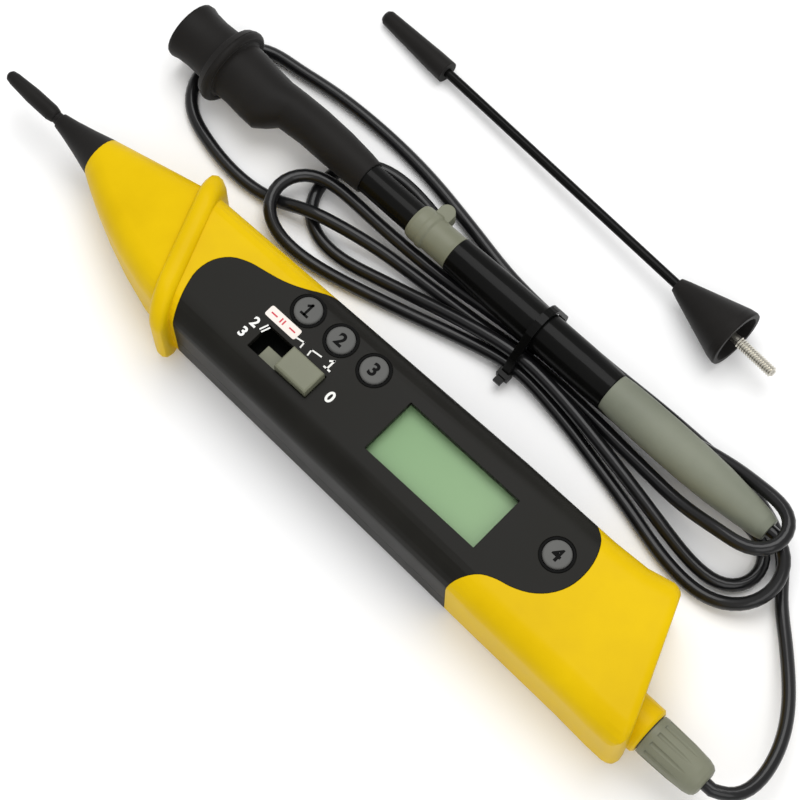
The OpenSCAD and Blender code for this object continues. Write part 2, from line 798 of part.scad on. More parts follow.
module plug_pin() {
    color(metal)
        difference() {
            turned([[sleeve_x - pin_in, 0.6 * plug_pin_r], [sleeve_x - pin_in + plug_pin_r, plug_pin_r],
                [sleeve_x + sleeve_len / 2 - seat, plug_pin_r]], jack_y, jack_z);
            box(sleeve_x - pin_in - over, sleeve_x - shroud_in, jack_y - plug_pin_r / 8, jack_y + plug_pin_r / 8,
                jack_z - 2 * plug_pin_r, jack_z + 2 * plug_pin_r);
        }
}

// The lead: from the plug along the table to the hank, then three loops through the tie and
// back to the hand probe. The points are on the middle of the lead.
cord_route = [
    [119.5, -7.5, 12], [121.5, -7.5, 12], [123.9, -6.9, 11.9], [125.9, -5.1, 11.6], [127.1, -2.2, 11.1],
    [127.3, 1.4, 10.5], [126.4, 7.2, 9.6], [124.3, 12.8, 8.8], [120.7, 18.7, 7.4], [115.8, 24.5, 5.7],
    [111.5, 29.1, 4.1], [106.9, 33.6, 2.7], [103.6, 37, 1.9], [101.2, 40.6, 1.7], [98.4, 44, 1.7],
    [94.6, 46.9, 1.7], [89.6, 49.1, 1.7], [84.2, 50.5, 1.7], [79.6, 51.1, 1.7], [76, 51.1, 1.7]];
hank_route = [
    [76, 51.1, 1.7], [72.4, 51.1, 1.7], [58, 51, 1.8], [40, 50, 2.5], [25.5, 49.8, 2.9],
    [10.6, 50.8, 2.5], [-5, 53.8, 2], [-21, 56.5, 1.7], [-38, 57.4, 1.7], [-54, 56.5, 1.7],
    [-63, 55, 1.7], [-70.2, 54.2, 1.7], [-75.6, 50.7, 1.7], [-78.6, 45.1, 1.7], [-78.4, 38.7, 1.7],
    [-77.6, 35.4, 1.7], [-75.2, 32, 1.7], [-72, 29.6, 1.7], [-65.6, 27.6, 1.7], [-56, 25.9, 1.7],
    [-49, 25.9, 1.7], [-44.2, 26.7, 1.7], [-40.8, 27.6, 2.5], [-37.4, 28.6, 4.3], [-34, 29.8, 5.5],
    [-30, 30.9, 5.7], [-24.4, 32.5, 5], [-14.8, 34.7, 3.6], [-4.8, 36, 2.4], [10, 37.4, 2],
    [25.5, 38.8, 2.9], [40, 38.9, 2.9], [54, 38, 3.4], [65, 36.9, 4.9], [74, 35.9, 7], [80, 35.8, 8.9],
    [85.6, 36.1, 10.9], [91.9, 36.5, 12.1], [94.7, 37.8, 12.8], [96.6, 40.1, 13.2], [97.3, 43.1, 13.3],
    [96.6, 46.1, 13.2], [94.7, 48.4, 12.7], [91.9, 49.7, 11.8], [86.4, 49.9, 10.4], [80.6, 50.4, 8.3],
    [73, 50, 6], [64, 48.6, 4.2], [54, 47.2, 3.2], [40, 46.5, 2.9], [25.5, 46.1, 2.9], [12.2, 46.6, 2.6],
    [0, 47.9, 2.2], [-10, 49.7, 1.9], [-16.6, 50.9, 1.7], [-21.6, 51.4, 1.7], [-25, 51.4, 1.7],
    [-30.6, 50.4, 1.7], [-35.2, 47, 1.7], [-37.6, 41.8, 1.7], [-37.5, 36.1, 1.7], [-34.7, 31.1, 1.7],
    [-29.9, 27.9, 1.7], [-25.8, 27.2, 1.7], [-20.4, 27.5, 1.7], [-13, 29.3, 2.1], [-4, 31.5, 2.9],
    [6, 33.8, 4.2], [16.4, 35.8, 5.6], [25.5, 37, 6.4], [38, 36.4, 6.1], [50, 34.8, 5.2],
    [62, 32.8, 4.4], [73, 30.8, 3.5], [80, 29.6, 2.6], [85.6, 29, 1.9], [90.1, 29.1, 1.7],
    [93.8, 30.2, 1.7], [96.4, 33, 1.7], [97.4, 36.7, 1.7], [96.4, 40.4, 1.7], [93.8, 43.2, 1.7],
    [90.1, 44.3, 1.7], [85.4, 44.3, 1.7], [79, 43.9, 1.7], [70, 43.4, 1.8], [58, 43, 2.2],
    [46, 42.5, 2.6], [25.5, 42.4, 2.9], [14, 41.4, 3.3], [0, 39.4, 4.5], [-12, 38.7, 5.1],
    [-22, 38.6, 5.2], [-27.6, 38.7, 5.3], [-32, 38.7, 5.4], [-36, 38.3, 5.5], [-40.4, 36.3, 5.6],
    [-43, 32.3, 5.8], [-43.1, 27.5, 5.9], [-40.6, 23.4, 5.5], [-37.4, 21.7, 4.2], [-32.8, 21.2, 2.7],
    [-27, 21.7, 1.8], [-20, 23, 1.7], [-11, 25.4, 1.7], [0, 28.6, 1.8], [12.6, 32.3, 2.3],
    [25.5, 35.2, 2.9], [39.4, 34.2, 2.4], [54, 31.5, 1.8], [68, 28.4, 1.7], [78, 25.9, 1.7],
    [84.6, 25, 1.7], [89.2, 24.9, 1.9], [93.4, 25.5, 2.5], [97.5, 27.4, 3.6], [100.7, 30.5, 5],
    [102.1, 34.3, 6.4], [102, 37.9, 7.8], [100.4, 41, 8.9], [98.2, 43.2, 9.4], [95.7, 44, 9.6],
    [92.8, 44, 9.6]];

// Ring of points round the route at one of its points, square to the run there
function tube_ring(p, i, r, sides) = let (
    t = tangent(p, i),
    u = unit(cross([0, 0, 1], t)),
    v = cross(t, u))
    [for (k = [0:sides - 1]) let (a = 360 * (k + 0.5) / sides) p[i] + r * (cos(a) * u + sin(a) * v)];

module tube(p, r, sides) {
    skin([for (i = [0:len(p) - 1]) tube_ring(p, i, r, sides)]);
}

// Least gap of the hank to itself, measured on points along its straight runs,
// each pair of points further apart along the lead than the lead is thick four times
measure_steps = 4;
function run_points(p) = [for (i = [0:len(p) - 2]) for (k = [0:measure_steps - 1])
    lerp(p[i], p[i + 1], k / measure_steps)];
function way_along(q) = [for (i = 0, s = 0; i < len(q); s = s + (i < len(q) - 1 ? norm(q[i + 1] - q[i]) : 0), i = i + 1) s];
function least_gap(p) = let (q = run_points(p), s = way_along(q))
    min([for (i = [0:len(q) - 1]) for (j = [i + 1:1:len(q) - 1])
        if (s[j] - s[i] > 4 * lead_d) norm(q[i] - q[j])]) - lead_d;
echo(least_gap_of_the_hank = least_gap(hank_route));

module lead_cord() {
    color(rubber_black) tube(cord_route, lead_d / 2, 8);
}

module lead_hank() {
    color(rubber_black) tube(hank_route, lead_d / 2, 6);
}

// Tie round the handle and the six strands of the hank
tie_x = 25.5;
tie_strands = [[49.8, 2.9], [46, 2.9], [42.4, 2.9], [38.8, 2.9], [35.2, 2.9], [37, 6.4]];
tie_gap = 0.25;
tie_tail_l = 1.2;
probe_y = 44;
probe_z = 9.6;

module tie_outline(grow) {
    hull() {
        for (p = tie_strands) translate(p) circle(r = lead_d / 2 + grow, $fn = 32);
        translate([probe_y, probe_z]) circle(r = handle_r + grow, $fn = 32);
    }
}

module hank_tie() {
    color(rubber_black)
        union() {
            // The outline lies in the YZ plane
            translate([tie_x - tie_w / 2, 0, 0])
                rotate([90, 0, 90])
                    linear_extrude(tie_w)
                        difference() {
                            tie_outline(tie_gap + tie_t);
                            tie_outline(tie_gap);
                        }
            // Head of the tie and its cut tail
            translate([tie_x, tie_strands[4][0] - lead_d / 2 - tie_gap - tie_t / 2, tie_strands[4][1]])
                {
                    translate([-0.8 * tie_w, -tie_w + tie_t / 2, -tie_w / 2]) cube([1.6 * tie_w, tie_w, tie_w]);
                    translate([-tie_w / 2, -tie_w - tie_tail_l, -tie_t / 2]) cube([tie_w, tie_tail_l + tie_w, tie_t]);
                }
        }
}

// Hand probe
grip_x0 = 47;
grip_x1 = 92.8;
collar_x0 = -13;
handle_x0 = -0.5;
barrel_x0 = -47;
barrel_step_x = -30;
grip_shares = [[0, 0.9], [0.06, 0.95], [0.16, 0.985], [0.34, 1], [0.5, 0.99], [0.68, 0.93], [0.85, 0.79],
    [0.96, 0.66], [1, 0.55]];
handle_end = 8;

module probe_grip() {
    color(grey)
        difference() {
            turned([for (s = grip_shares) [lerp(grip_x0, grip_x1, s[0]), s[1] * grip_r]], probe_y, probe_z);
            rod_x(grip_x0 - over, grip_x0 + handle_end + seat, probe_y, probe_z, 0.6 * handle_r + slip);
        }
}

module probe_handle() {
    color(rubber_black)
        difference() {
            union() {
                turned([[handle_x0, 0.92 * handle_r], [lerp(handle_x0, grip_x0, 0.3), 0.98 * handle_r],
                    [lerp(handle_x0, grip_x0, 0.8), handle_r], [grip_x0 - seat, 0.96 * handle_r]], probe_y, probe_z);
                rod_x(grip_x0 - over, grip_x0 + handle_end, probe_y, probe_z, 0.6 * handle_r);
            }
            rod_x(handle_x0 - over, handle_x0 + handle_end + seat, probe_y, probe_z, 0.6 * barrel_r + slip);
        }
}

// Collar with its round finger guard and a lug that shows which way up it is
guard_x = -8.8;
guard_w = 2.2;
lug_x = -8.6;
lug_r = 2;
lug_out = 7.4;
lug_h = 4;

module probe_collar() {
    color(grey)
        difference() {
            union() {
                turned([[collar_x0 + seat, 0.92 * probe_collar_r], [collar_x0 + guard_w / 2, probe_collar_r],
                    [guard_x - guard_w / 2, probe_collar_r], [guard_x - guard_w / 4, 1.04 * probe_collar_r],
                    [guard_x + guard_w / 4, 1.04 * probe_collar_r], [guard_x + guard_w / 2, 0.95 * probe_collar_r],
                    [handle_x0 - guard_w / 2, 0.97 * probe_collar_r], [handle_x0 - seat, probe_collar_r]],
                    probe_y, probe_z);
                translate([lug_x, probe_y, probe_z - lug_h / 2]) {
                    translate([0, lug_out - lug_r, 0]) cylinder(h = lug_h, r = lug_r);
                    translate([-lug_r, 0, 0]) cube([2 * lug_r, lug_out - lug_r, lug_h]);
                }
            }
            rod_x(collar_x0 - over, handle_x0 + over, probe_y, probe_z, 0.6 * barrel_r + slip);
        }
}

module probe_barrel() {
    color(rubber_black)
        difference() {
            union() {
                turned([[barrel_x0, 0.75 * barrel_r], [barrel_step_x, 0.9 * barrel_r],
                    [barrel_step_x + over, barrel_r], [collar_x0, barrel_r]], probe_y, probe_z);
                rod_x(collar_x0 - over, handle_x0 + handle_end, probe_y, probe_z, 0.6 * barrel_r);
            }
            rod_x(barrel_x0 - over, barrel_step_x, probe_y, probe_z, needle_r + slip);
        }
}

hand_needle_x = -62;
module probe_needle() {
    color(metal)
        turned([[hand_needle_x, 0.2 * needle_r], [hand_needle_x + 3 * needle_r, needle_r],
            [barrel_step_x - seat, needle_r]], probe_y, probe_z);
}

// Clip boot: oval sections from the bell mouth to the sleeve on the barrel.
// Each row: place along the probe, offset across, half width, half height
boot_y = 42.4;
boot_half_w = 7;
boot_half_h = 6.2;
sleeve_half = 4.95;
boot_x = [-85.8, -84.6, -82.6, -79, -74.6, -73.6, -72.8, -71.2, -70.4, -69.4, -66, -61, -57, -54.6, -52.6, -46, -38, -31, -28];
boot_offset_shares = [0, 0, 0, 0, 0, 0, 0, 0, 0, 0, 0, -0.25, -0.2, 0.35, 1, 1.25, 1.2, 1.1, 1];
boot_w_shares = [1.07, 1.09, 1.02, 0.97, 1, 1.02, 1.32, 1.42, 1.3, 1.07, 1.05, 1.02, 0.97, 0.87, 0.74, 0.715, 0.7, 0.64, 0.6];
boot_h_shares = [1.15, 1.18, 1.05, 1, 1, 1.06, 1.42, 1.53, 1.4, 1.05, 1, 0.97, 0.93, 0.87, 0.82, 0.8, 0.79, 0.72, 0.68];
boot_sides = 24;
cavity_last = 13;

function oval(x, y, a, b) = [for (k = [0:boot_sides - 1]) let (t = 360 * k / boot_sides)
    [x, y + a * cos(t), probe_z + b * sin(t)]];
function boot_ring(i, inset) = oval(boot_x[i], boot_y + boot_offset_shares[i] * (probe_y - boot_y),
    min(boot_w_shares[i] * boot_half_w, flange_r) - inset, min(boot_h_shares[i] * boot_half_h, probe_z) - inset);
// The cavity passes straight under the flange
cavity_rows = [0, 1, 2, 3, 4, 9, 10, 11, 12, 13];

module clip_boot() {
    color(rubber_black)
        difference() {
            skin([for (i = [0:len(boot_x) - 1]) boot_ring(i, 0)]);
            skin([for (i = cavity_rows) let (r = boot_ring(i, boot_wall))
                i == 0 ? [for (p = r) p - [over, 0, 0]] : r]);
            rod_x(cavity_end_x - over, barrel_x0 + over, probe_y, probe_z, socket_out_r + slip);
            turned([[barrel_x0 - seat, 0.75 * barrel_r + slip], [barrel_step_x, 0.9 * barrel_r + slip],
                [barrel_step_x + over - slip, barrel_r + slip], [boot_x[len(boot_x) - 1] + over, barrel_r + slip]],
                probe_y, probe_z);
        }
}
cavity_end_x = boot_x[cavity_last];
socket_out_r = 1.9;

// Clip in the boot: a frame with a socket for the needle and the fixed jaw, and the jaw on its pin
pivot_x = -68;
pivot_y = 41.6;
pivot_r = 1;
jaw_tip_x = -80.5;
jaw_gap = 0.25;
jaw_t = 1.5;
jaw_root = 2.6;
tooth_count = 3;
tooth_pitch = 2;
tooth_h = 0.7;
lever_x = -58.5;
lever_t = 1.2;
lever_y = 37.6;
ear_t = 1;
bite_y = boot_y;
frame_socket_x = -55;

// Saw edge along the bite, from the tip back, for the jaw on one side
function teeth(side) = [for (i = [0:tooth_count - 1]) each [
    [jaw_tip_x + i * tooth_pitch, bite_y + side * jaw_gap / 2],
    [jaw_tip_x + (i + 0.5) * tooth_pitch, bite_y + side * (jaw_gap / 2 + tooth_h)]]];

module clip_frame() {
    color(metal)
        difference() {
            union() {
                // Fixed jaw and its web back to the socket
                translate([0, 0, probe_z - jaw_h / 2])
                    linear_extrude(jaw_h)
                        polygon(concat(teeth(1), [[jaw_tip_x + tooth_count * tooth_pitch, bite_y + jaw_gap / 2 + tooth_h],
                            [pivot_x - jaw_root, pivot_y + jaw_root],
                            [pivot_x + jaw_root, pivot_y + jaw_root], [hand_needle_x - jaw_t, probe_y - socket_out_r / 2],
                            [hand_needle_x - jaw_t, probe_y + socket_out_r],
                            [pivot_x - jaw_root, pivot_y + jaw_root + jaw_t + jaw_gap],
                            [jaw_tip_x, bite_y + jaw_gap / 2 + jaw_t]]));
                rod_x(hand_needle_x - jaw_t - seam, barrel_x0 - seat, probe_y, probe_z, socket_out_r);
                // Ears on both sides of the moving jaw
                for (z = [probe_z - jaw_h / 2, probe_z + jaw_h / 2 - ear_t])
                    translate([pivot_x, pivot_y, z]) {
                        cylinder(h = ear_t, r = jaw_root);
                        translate([-jaw_root, 0, 0]) cube([2 * jaw_root, jaw_root + jaw_t, ear_t]);
                    }
            }
            translate([pivot_x, pivot_y, probe_z - jaw_h]) cylinder(h = 2 * jaw_h, r = pivot_r + slip);
            rod_x(hand_needle_x - seat, barrel_x0 + over, probe_y, probe_z, needle_r + slip);
        }
}

module clip_jaw() {
    color(metal)
        difference() {
            translate([0, 0, probe_z - jaw_h / 2 + ear_t + seat])
                linear_extrude(jaw_h - 2 * ear_t - 2 * seat)
                    union() {
                        polygon(concat(teeth(-1),
                            [[jaw_tip_x + tooth_count * tooth_pitch, bite_y - jaw_gap / 2 - tooth_h],
                            [pivot_x - 0.6 * jaw_root, pivot_y + 0.5 * jaw_root],
                            [pivot_x + 0.6 * jaw_root, pivot_y + 0.5 * jaw_root],
                            [lever_x, lever_y + lever_t], [lever_x, lever_y],
                            [pivot_x, pivot_y - 0.8 * jaw_root],
                            [pivot_x - jaw_root, pivot_y - 0.8 * jaw_root],
                            [jaw_tip_x, bite_y - jaw_gap / 2 - jaw_t]]));
                    }
            translate([pivot_x, pivot_y, probe_z - jaw_h]) cylinder(h = 2 * jaw_h, r = pivot_r + slip);
        }
}

// The pin carries the coil of the clip's spring above the upper ear
coil_r = 1.8;
coil_h = 1.1;

module clip_pin() {
    color(metal)
        translate([pivot_x, pivot_y, probe_z - jaw_h / 2 - slip])
            cylinder(h = jaw_h + coil_h + 4 * slip, r = pivot_r);
}

module clip_spring() {
    color(metal)
        translate([pivot_x, pivot_y, probe_z + jaw_h / 2 + slip])
            difference() {
                cylinder(h = coil_h, r = coil_r);
                translate([0, 0, -over]) cylinder(h = coil_h + 2 * over, r = pivot_r + slip);
            }
}

// Extension probe, built along its own axis and laid on the table on its cap and its cone's rim
ext_tip_r = 1.9;
ext_len = ext_cap_l + ext_rod_l + ext_cone_l;
ext_place = [-57.5, 79.8];
ext_yaw = -3.25;
ext_pitch = atan((ext_cone_r - ext_tip_r) / ext_len);
ext_bore = 12;
ext_recess = 3;
ext_shank_r = 1.3 * ext_pin_r;
ext_cap_shares = [[0, 0.3], [0.012, 0.75], [0.045, 1]];

module ext_turned(profile) {
    rotate([0, 90, 0])
        rotate_extrude()
            polygon(concat([[0, profile[0][0]]], [for (p = profile) [p[1], p[0]]],
                [[0, profile[len(profile) - 1][0]]]));
}

module ext_rod(x0, x1, r) {
    translate([x0, 0, 0]) rotate([0, 90, 0]) cylinder(h = x1 - x0, r = r);
}

module ext_placed() {
    translate([ext_place[0], ext_place[1], ext_tip_r / cos(ext_pitch)])
        rotate([0, 0, ext_yaw])
            rotate([0, -ext_pitch, 0])
                children();
}

module extension_cap() {
    color(rubber_black)
        ext_placed()
            difference() {
                ext_turned(concat([for (s = ext_cap_shares) [s[0] * ext_cap_l, s[1] * ext_tip_r]],
                    [[0.8 * ext_cap_l, 0.97 * ext_cap_r], [ext_cap_l, ext_cap_r]]));
                ext_rod(ext_cap_l - ext_bore, ext_cap_l + over, ext_rod_r + slip);
            }
}

module extension_rod() {
    color(rubber_black)
        ext_placed()
            ext_rod(ext_cap_l - ext_bore + seat, ext_cap_l + ext_rod_l + ext_bore / 2, ext_rod_r);
}

module extension_cone() {
    color(rubber_black)
        ext_placed()
            difference() {
                ext_turned([[ext_cap_l + ext_rod_l, 1.6 * ext_rod_r],
                    [ext_cap_l + ext_rod_l + 0.1 * ext_cone_l, 2.2 * ext_rod_r],
                    [ext_len - 0.12 * ext_cone_l, 0.96 * ext_cone_r],
                    [ext_len - 0.03 * ext_cone_l, ext_cone_r], [ext_len, 0.98 * ext_cone_r]]);
                ext_rod(ext_cap_l + ext_rod_l - over, ext_cap_l + ext_rod_l + ext_bore / 2 + seat, ext_rod_r + slip);
                ext_rod(ext_cap_l + ext_rod_l + ext_bore / 2 + over, ext_len + over, ext_shank_r + slip);
                ext_turned([[ext_len - ext_recess, 0.72 * ext_cone_r], [ext_len + over, 0.85 * ext_cone_r]]);
            }
}

module extension_pin() {
    color(metal)
        ext_placed()
            ext_turned([[ext_cap_l + ext_rod_l + ext_bore / 2 + over + seat, ext_shank_r],
                [ext_len - ext_recess, ext_shank_r], [ext_len - ext_recess, ext_pin_r],
                [ext_len + ext_pin_l - 0.5 * ext_pin_r, ext_pin_r], [ext_len + ext_pin_l, 0.6 * ext_pin_r]]);
}

front_case();
rear_case();
nose_cover();
tail_cover();
tip_cone();
tip_sheath();
tip_needle();
needle_socket();
display_window();
display_cell();
contact_strips();
circuit_board();
mode_switch();
wiper_plate();
hold_button();
range_button();
select_button();
input_button();
key_domes();
fuse();
fuse_clips();
cells();
cell_contacts();
battery_cover();
cover_screw();
case_screws();
lead_jack();
plug_sleeve();
plug_pin();
lead_cord();
lead_hank();
hank_tie();
probe_grip();
probe_handle();
probe_collar();
probe_barrel();
probe_needle();
clip_boot();
clip_frame();
clip_jaw();
clip_pin();
clip_spring();
extension_cap();
extension_rod();
extension_cone();
extension_pin();
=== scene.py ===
import math
import bmesh
import bpy
from mathutils import Matrix, Vector


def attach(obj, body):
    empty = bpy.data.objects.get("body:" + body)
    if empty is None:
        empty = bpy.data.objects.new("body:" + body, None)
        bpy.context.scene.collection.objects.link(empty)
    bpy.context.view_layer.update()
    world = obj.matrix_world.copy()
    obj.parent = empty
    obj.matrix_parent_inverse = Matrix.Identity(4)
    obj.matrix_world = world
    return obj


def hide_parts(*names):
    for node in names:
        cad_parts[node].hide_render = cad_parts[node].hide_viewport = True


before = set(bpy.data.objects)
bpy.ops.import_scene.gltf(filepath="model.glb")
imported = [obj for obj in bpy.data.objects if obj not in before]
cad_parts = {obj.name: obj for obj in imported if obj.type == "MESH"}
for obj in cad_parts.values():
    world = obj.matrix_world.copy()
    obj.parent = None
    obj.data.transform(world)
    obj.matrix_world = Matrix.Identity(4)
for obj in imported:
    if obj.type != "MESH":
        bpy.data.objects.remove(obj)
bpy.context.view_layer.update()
mm = 0.001


# Camera at the photograph's angle, in degrees and metres, with the sensor in millimetres

cameraSettings = {"azimuth": 44.0, "elevation": 70.0, "distance": 0.52, "target": (0.0152, 0.00945, 0.012),
                  "fieldOfView": 19.16, "sensor": 36.0, "clip": (0.01, 20.0)}


def backVector(azimuth, elevation):
    a, e = math.radians(azimuth), math.radians(elevation)
    return Vector((math.sin(a) * math.cos(e), -math.cos(a) * math.cos(e), math.sin(e)))


def makeCamera(s):
    data = bpy.data.cameras.new("camera")
    camera = bpy.data.objects.new("camera", data)
    bpy.context.scene.collection.objects.link(camera)
    back = backVector(s["azimuth"], s["elevation"])
    camera.location = Vector(s["target"]) + back * s["distance"]
    camera.rotation_euler = back.to_track_quat("Z", "Y").to_euler()
    data.sensor_fit = "HORIZONTAL"
    data.sensor_width = s["sensor"]
    data.lens = s["sensor"] / 2 / math.tan(math.radians(s["fieldOfView"]) / 2)
    data.clip_start, data.clip_end = s["clip"]
    data.dof.use_dof = False
    bpy.context.scene.camera = camera


makeCamera(cameraSettings)
print("camera placed")


# Helpers for meshes

def addObject(name, mesh, body):
    thing = bpy.data.objects.new(name, mesh)
    bpy.context.scene.collection.objects.link(thing)
    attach(thing, body)
    return thing


def meshFrom(name, points, faces, smooth=True):
    mesh = bpy.data.meshes.new(name)
    mesh.from_pydata([tuple(p) for p in points], [], faces)
    mesh.validate()
    for face in mesh.polygons:
        face.use_smooth = smooth
    return mesh


def sharpen(mesh, degrees):
    bm = bmesh.new()
    bm.from_mesh(mesh)
    limit = math.radians(degrees)
    for f in bm.faces:
        f.smooth = True
    for e in bm.edges:
        e.smooth = len(e.link_faces) == 2 and e.calc_face_angle(0) < limit
    bm.to_mesh(mesh)
    bm.free()


def weighNormals(thing, weight=60):
    modifier = thing.modifiers.new("weighted", "WEIGHTED_NORMAL")
    modifier.mode = "FACE_AREA"
    modifier.weight = weight
    modifier.keep_sharp = True


# Helpers for materials

def newMaterial(name):
    material = bpy.data.materials.new(name)
    material.use_nodes = True
    tree = material.node_tree
    shader = tree.nodes["Principled BSDF"]
    return material, tree, shader


def link(tree, a, b):
    tree.links.new(a, b)


def noiseNode(tree, coords, scale, detail, rough=0.5, stretch=None):
    source = coords
    if stretch:
        mapping = tree.nodes.new("ShaderNodeMapping")
        mapping.inputs["Scale"].default_value = stretch
        link(tree, coords, mapping.inputs["Vector"])
        source = mapping.outputs["Vector"]
    noise = tree.nodes.new("ShaderNodeTexNoise")
    noise.inputs["Scale"].default_value = scale
    noise.inputs["Detail"].default_value = detail
    noise.inputs["Roughness"].default_value = rough
    link(tree, source, noise.inputs["Vector"])
    return noise.outputs["Fac"]


def rangeNode(tree, value, low, high, fromLow=0.3, fromHigh=0.7):  # where most of a noise lies
    node = tree.nodes.new("ShaderNodeMapRange")
    node.inputs["From Min"].default_value = fromLow
    node.inputs["From Max"].default_value = fromHigh
    node.inputs["To Min"].default_value = low
    node.inputs["To Max"].default_value = high
    link(tree, value, node.inputs["Value"])
    return node.outputs["Result"]


def bumpNode(tree, height, strength, depth, normal=None):
    bump = tree.nodes.new("ShaderNodeBump")
    bump.inputs["Strength"].default_value = strength
    bump.inputs["Distance"].default_value = depth
    link(tree, height, bump.inputs["Height"])
    if normal:
        link(tree, normal, bump.inputs["Normal"])
    return bump.outputs["Normal"]


def mixColour(tree, factor, a, b):
    node = tree.nodes.new("ShaderNodeMix")
    node.data_type = "RGBA"
    link(tree, factor, node.inputs["Factor"])
    node.inputs["A"].default_value = (*a, 1)
    node.inputs["B"].default_value = (*b, 1)
    return node.outputs["Result"]


# What a look has unless its own values say otherwise, with edge and bumpDepth in millimetres
surfaceDefaults = {"metal": 0.0, "specular": 0.5, "coat": 0.0, "coatRough": 0.1, "sheen": 0.0, "stretch": None,
                   "broadScale": 55.0, "broadDetail": 4.0, "broadRough": 0.55,
                   "fineScale": 2600.0, "fineDetail": 3.0, "fineRough": 0.6,
                   "edge": 0.2, "edgeSamples": 6, "bump": 0.15, "bumpDepth": 0.02}


def surface(values):
    s = {**surfaceDefaults, **values}
    material, tree, shader = newMaterial(s["name"])
    coords = tree.nodes.new("ShaderNodeTexCoord").outputs["Object"]
    broad = noiseNode(tree, coords, s["broadScale"], s["broadDetail"], s["broadRough"], s["stretch"])
    fine = noiseNode(tree, coords, s["fineScale"], s["fineDetail"], s["fineRough"], s["stretch"])
    colour = mixColour(tree, rangeNode(tree, broad, 0.0, 1.0), s["dark"], s["light"])
    link(tree, colour, shader.inputs["Base Color"])
    link(tree, rangeNode(tree, broad, *s["rough"]), shader.inputs["Roughness"])
    shader.inputs["Metallic"].default_value = s["metal"]
    shader.inputs["Specular IOR Level"].default_value = s["specular"]
    shader.inputs["Coat Weight"].default_value = s["coat"]
    shader.inputs["Coat Roughness"].default_value = s["coatRough"]
    shader.inputs["Sheen Weight"].default_value = s["sheen"]
    rounding = tree.nodes.new("ShaderNodeBevel")  # rounds the shading at edges
    rounding.samples = s["edgeSamples"]
    rounding.inputs["Radius"].default_value = s["edge"] * mm
    normal = bumpNode(tree, fine, s["bump"], s["bumpDepth"] * mm, rounding.outputs["Normal"])
    link(tree, normal, shader.inputs["Normal"])
    return material


def paint(thing, material):
    thing.data.materials.clear()
    thing.data.materials.append(material)


def paintNode(node, material):
    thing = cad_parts[node]
    if not thing.material_slots:
        thing.data.materials.append(material)
    for slotItem in thing.material_slots:
        slotItem.material = material


# Materials

cordLook = surface({
    "name": "cordVinyl", "dark": (0.004, 0.004, 0.0045), "light": (0.008, 0.008, 0.0085), "rough": (0.26, 0.36),
    "specular": 0.2, "coat": 0.3, "coatRough": 0.06, "bump": 0.12, "bumpDepth": 0.03, "fineScale": 900.0, "edge": 0.05})
caseLook = surface({
    "name": "caseBlack", "dark": (0.0085, 0.008, 0.0065), "light": (0.0125, 0.012, 0.0098), "rough": (0.38, 0.48),
    "specular": 0.1, "bump": 0.22, "bumpDepth": 0.03, "fineScale": 4200.0, "edge": 0.25})
yellowLook = surface({
    "name": "coverYellow", "dark": (0.63, 0.41, 0.0008), "light": (0.71, 0.475, 0.0015), "rough": (0.32, 0.4),
    "specular": 0.06, "bump": 0.12, "fineScale": 3600.0, "edge": 0.3})
rubberLook = surface({
    "name": "blackRubber", "dark": (0.008, 0.0072, 0.0068), "light": (0.013, 0.012, 0.011), "rough": (0.46, 0.58),
    "specular": 0.1, "bump": 0.35, "bumpDepth": 0.04, "fineScale": 3000.0, "sheen": 0.04, "edge": 0.25})
plasticLook = surface({
    "name": "blackPlastic", "dark": (0.0022, 0.0022, 0.002), "light": (0.004, 0.004, 0.0037), "rough": (0.28, 0.38),
    "specular": 0.04, "coat": 0.12, "coatRough": 0.08, "bump": 0.18, "bumpDepth": 0.025})
greyLook = surface({
    "name": "greyPlastic", "dark": (0.15, 0.155, 0.105), "light": (0.185, 0.19, 0.135), "rough": (0.4, 0.5),
    "specular": 0.3, "bump": 0.2, "bumpDepth": 0.03, "edge": 0.25})
gripLook = surface({
    "name": "greyGrip", "dark": (0.16, 0.172, 0.13), "light": (0.2, 0.213, 0.162), "rough": (0.5, 0.6),
    "specular": 0.3, "bump": 0.3, "bumpDepth": 0.04, "edge": 0.3})
keyLook = surface({
    "name": "greyKeys", "dark": (0.088, 0.088, 0.084), "light": (0.11, 0.11, 0.105), "rough": (0.5, 0.6),
    "specular": 0.2, "bump": 0.3, "bumpDepth": 0.03})
steelLook = surface({
    "name": "brightMetal", "dark": (0.5, 0.48, 0.42), "light": (0.72, 0.69, 0.61), "rough": (0.22, 0.36), "metal": 1.0,
    "bump": 0.2, "stretch": (0.15, 3.0, 3.0), "edge": 0.08})
brassLook = surface({
    "name": "brassParts", "dark": (0.62, 0.43, 0.16), "light": (0.75, 0.55, 0.22), "rough": (0.25, 0.35),
    "metal": 1.0, "edge": 0.08})
boardLook = surface({
    "name": "boardBlack", "dark": (0.003, 0.0045, 0.0035), "light": (0.005, 0.007, 0.0055), "rough": (0.45, 0.55),
    "specular": 0.1, "edge": 0.05})
jacketLook = surface({
    "name": "cellJacket", "dark": (0.05, 0.055, 0.08), "light": (0.07, 0.08, 0.1), "rough": (0.3, 0.4)})
inkWhite = surface({
    "name": "inkWhite", "dark": (0.74, 0.74, 0.7), "light": (0.82, 0.82, 0.79), "rough": (0.5, 0.6), "edge": 0.01})
# dark ink for the numerals on the keys, also used as painted shadow for the rims round the keys
darkInkAndShade = surface({
    "name": "darkInkAndShade", "dark": (0.003, 0.003, 0.003), "light": (0.005, 0.005, 0.005), "rough": (0.5, 0.6),
    "specular": 0.05, "edge": 0.01})
inkRed = surface({
    "name": "inkRed", "dark": (0.5, 0.02, 0.04), "light": (0.6, 0.035, 0.06), "rough": (0.5, 0.6), "edge": 0.01})
inkPale = surface({
    "name": "inkPale", "dark": (0.72, 0.66, 0.6), "light": (0.8, 0.74, 0.69), "rough": (0.45, 0.55), "edge": 0.01})

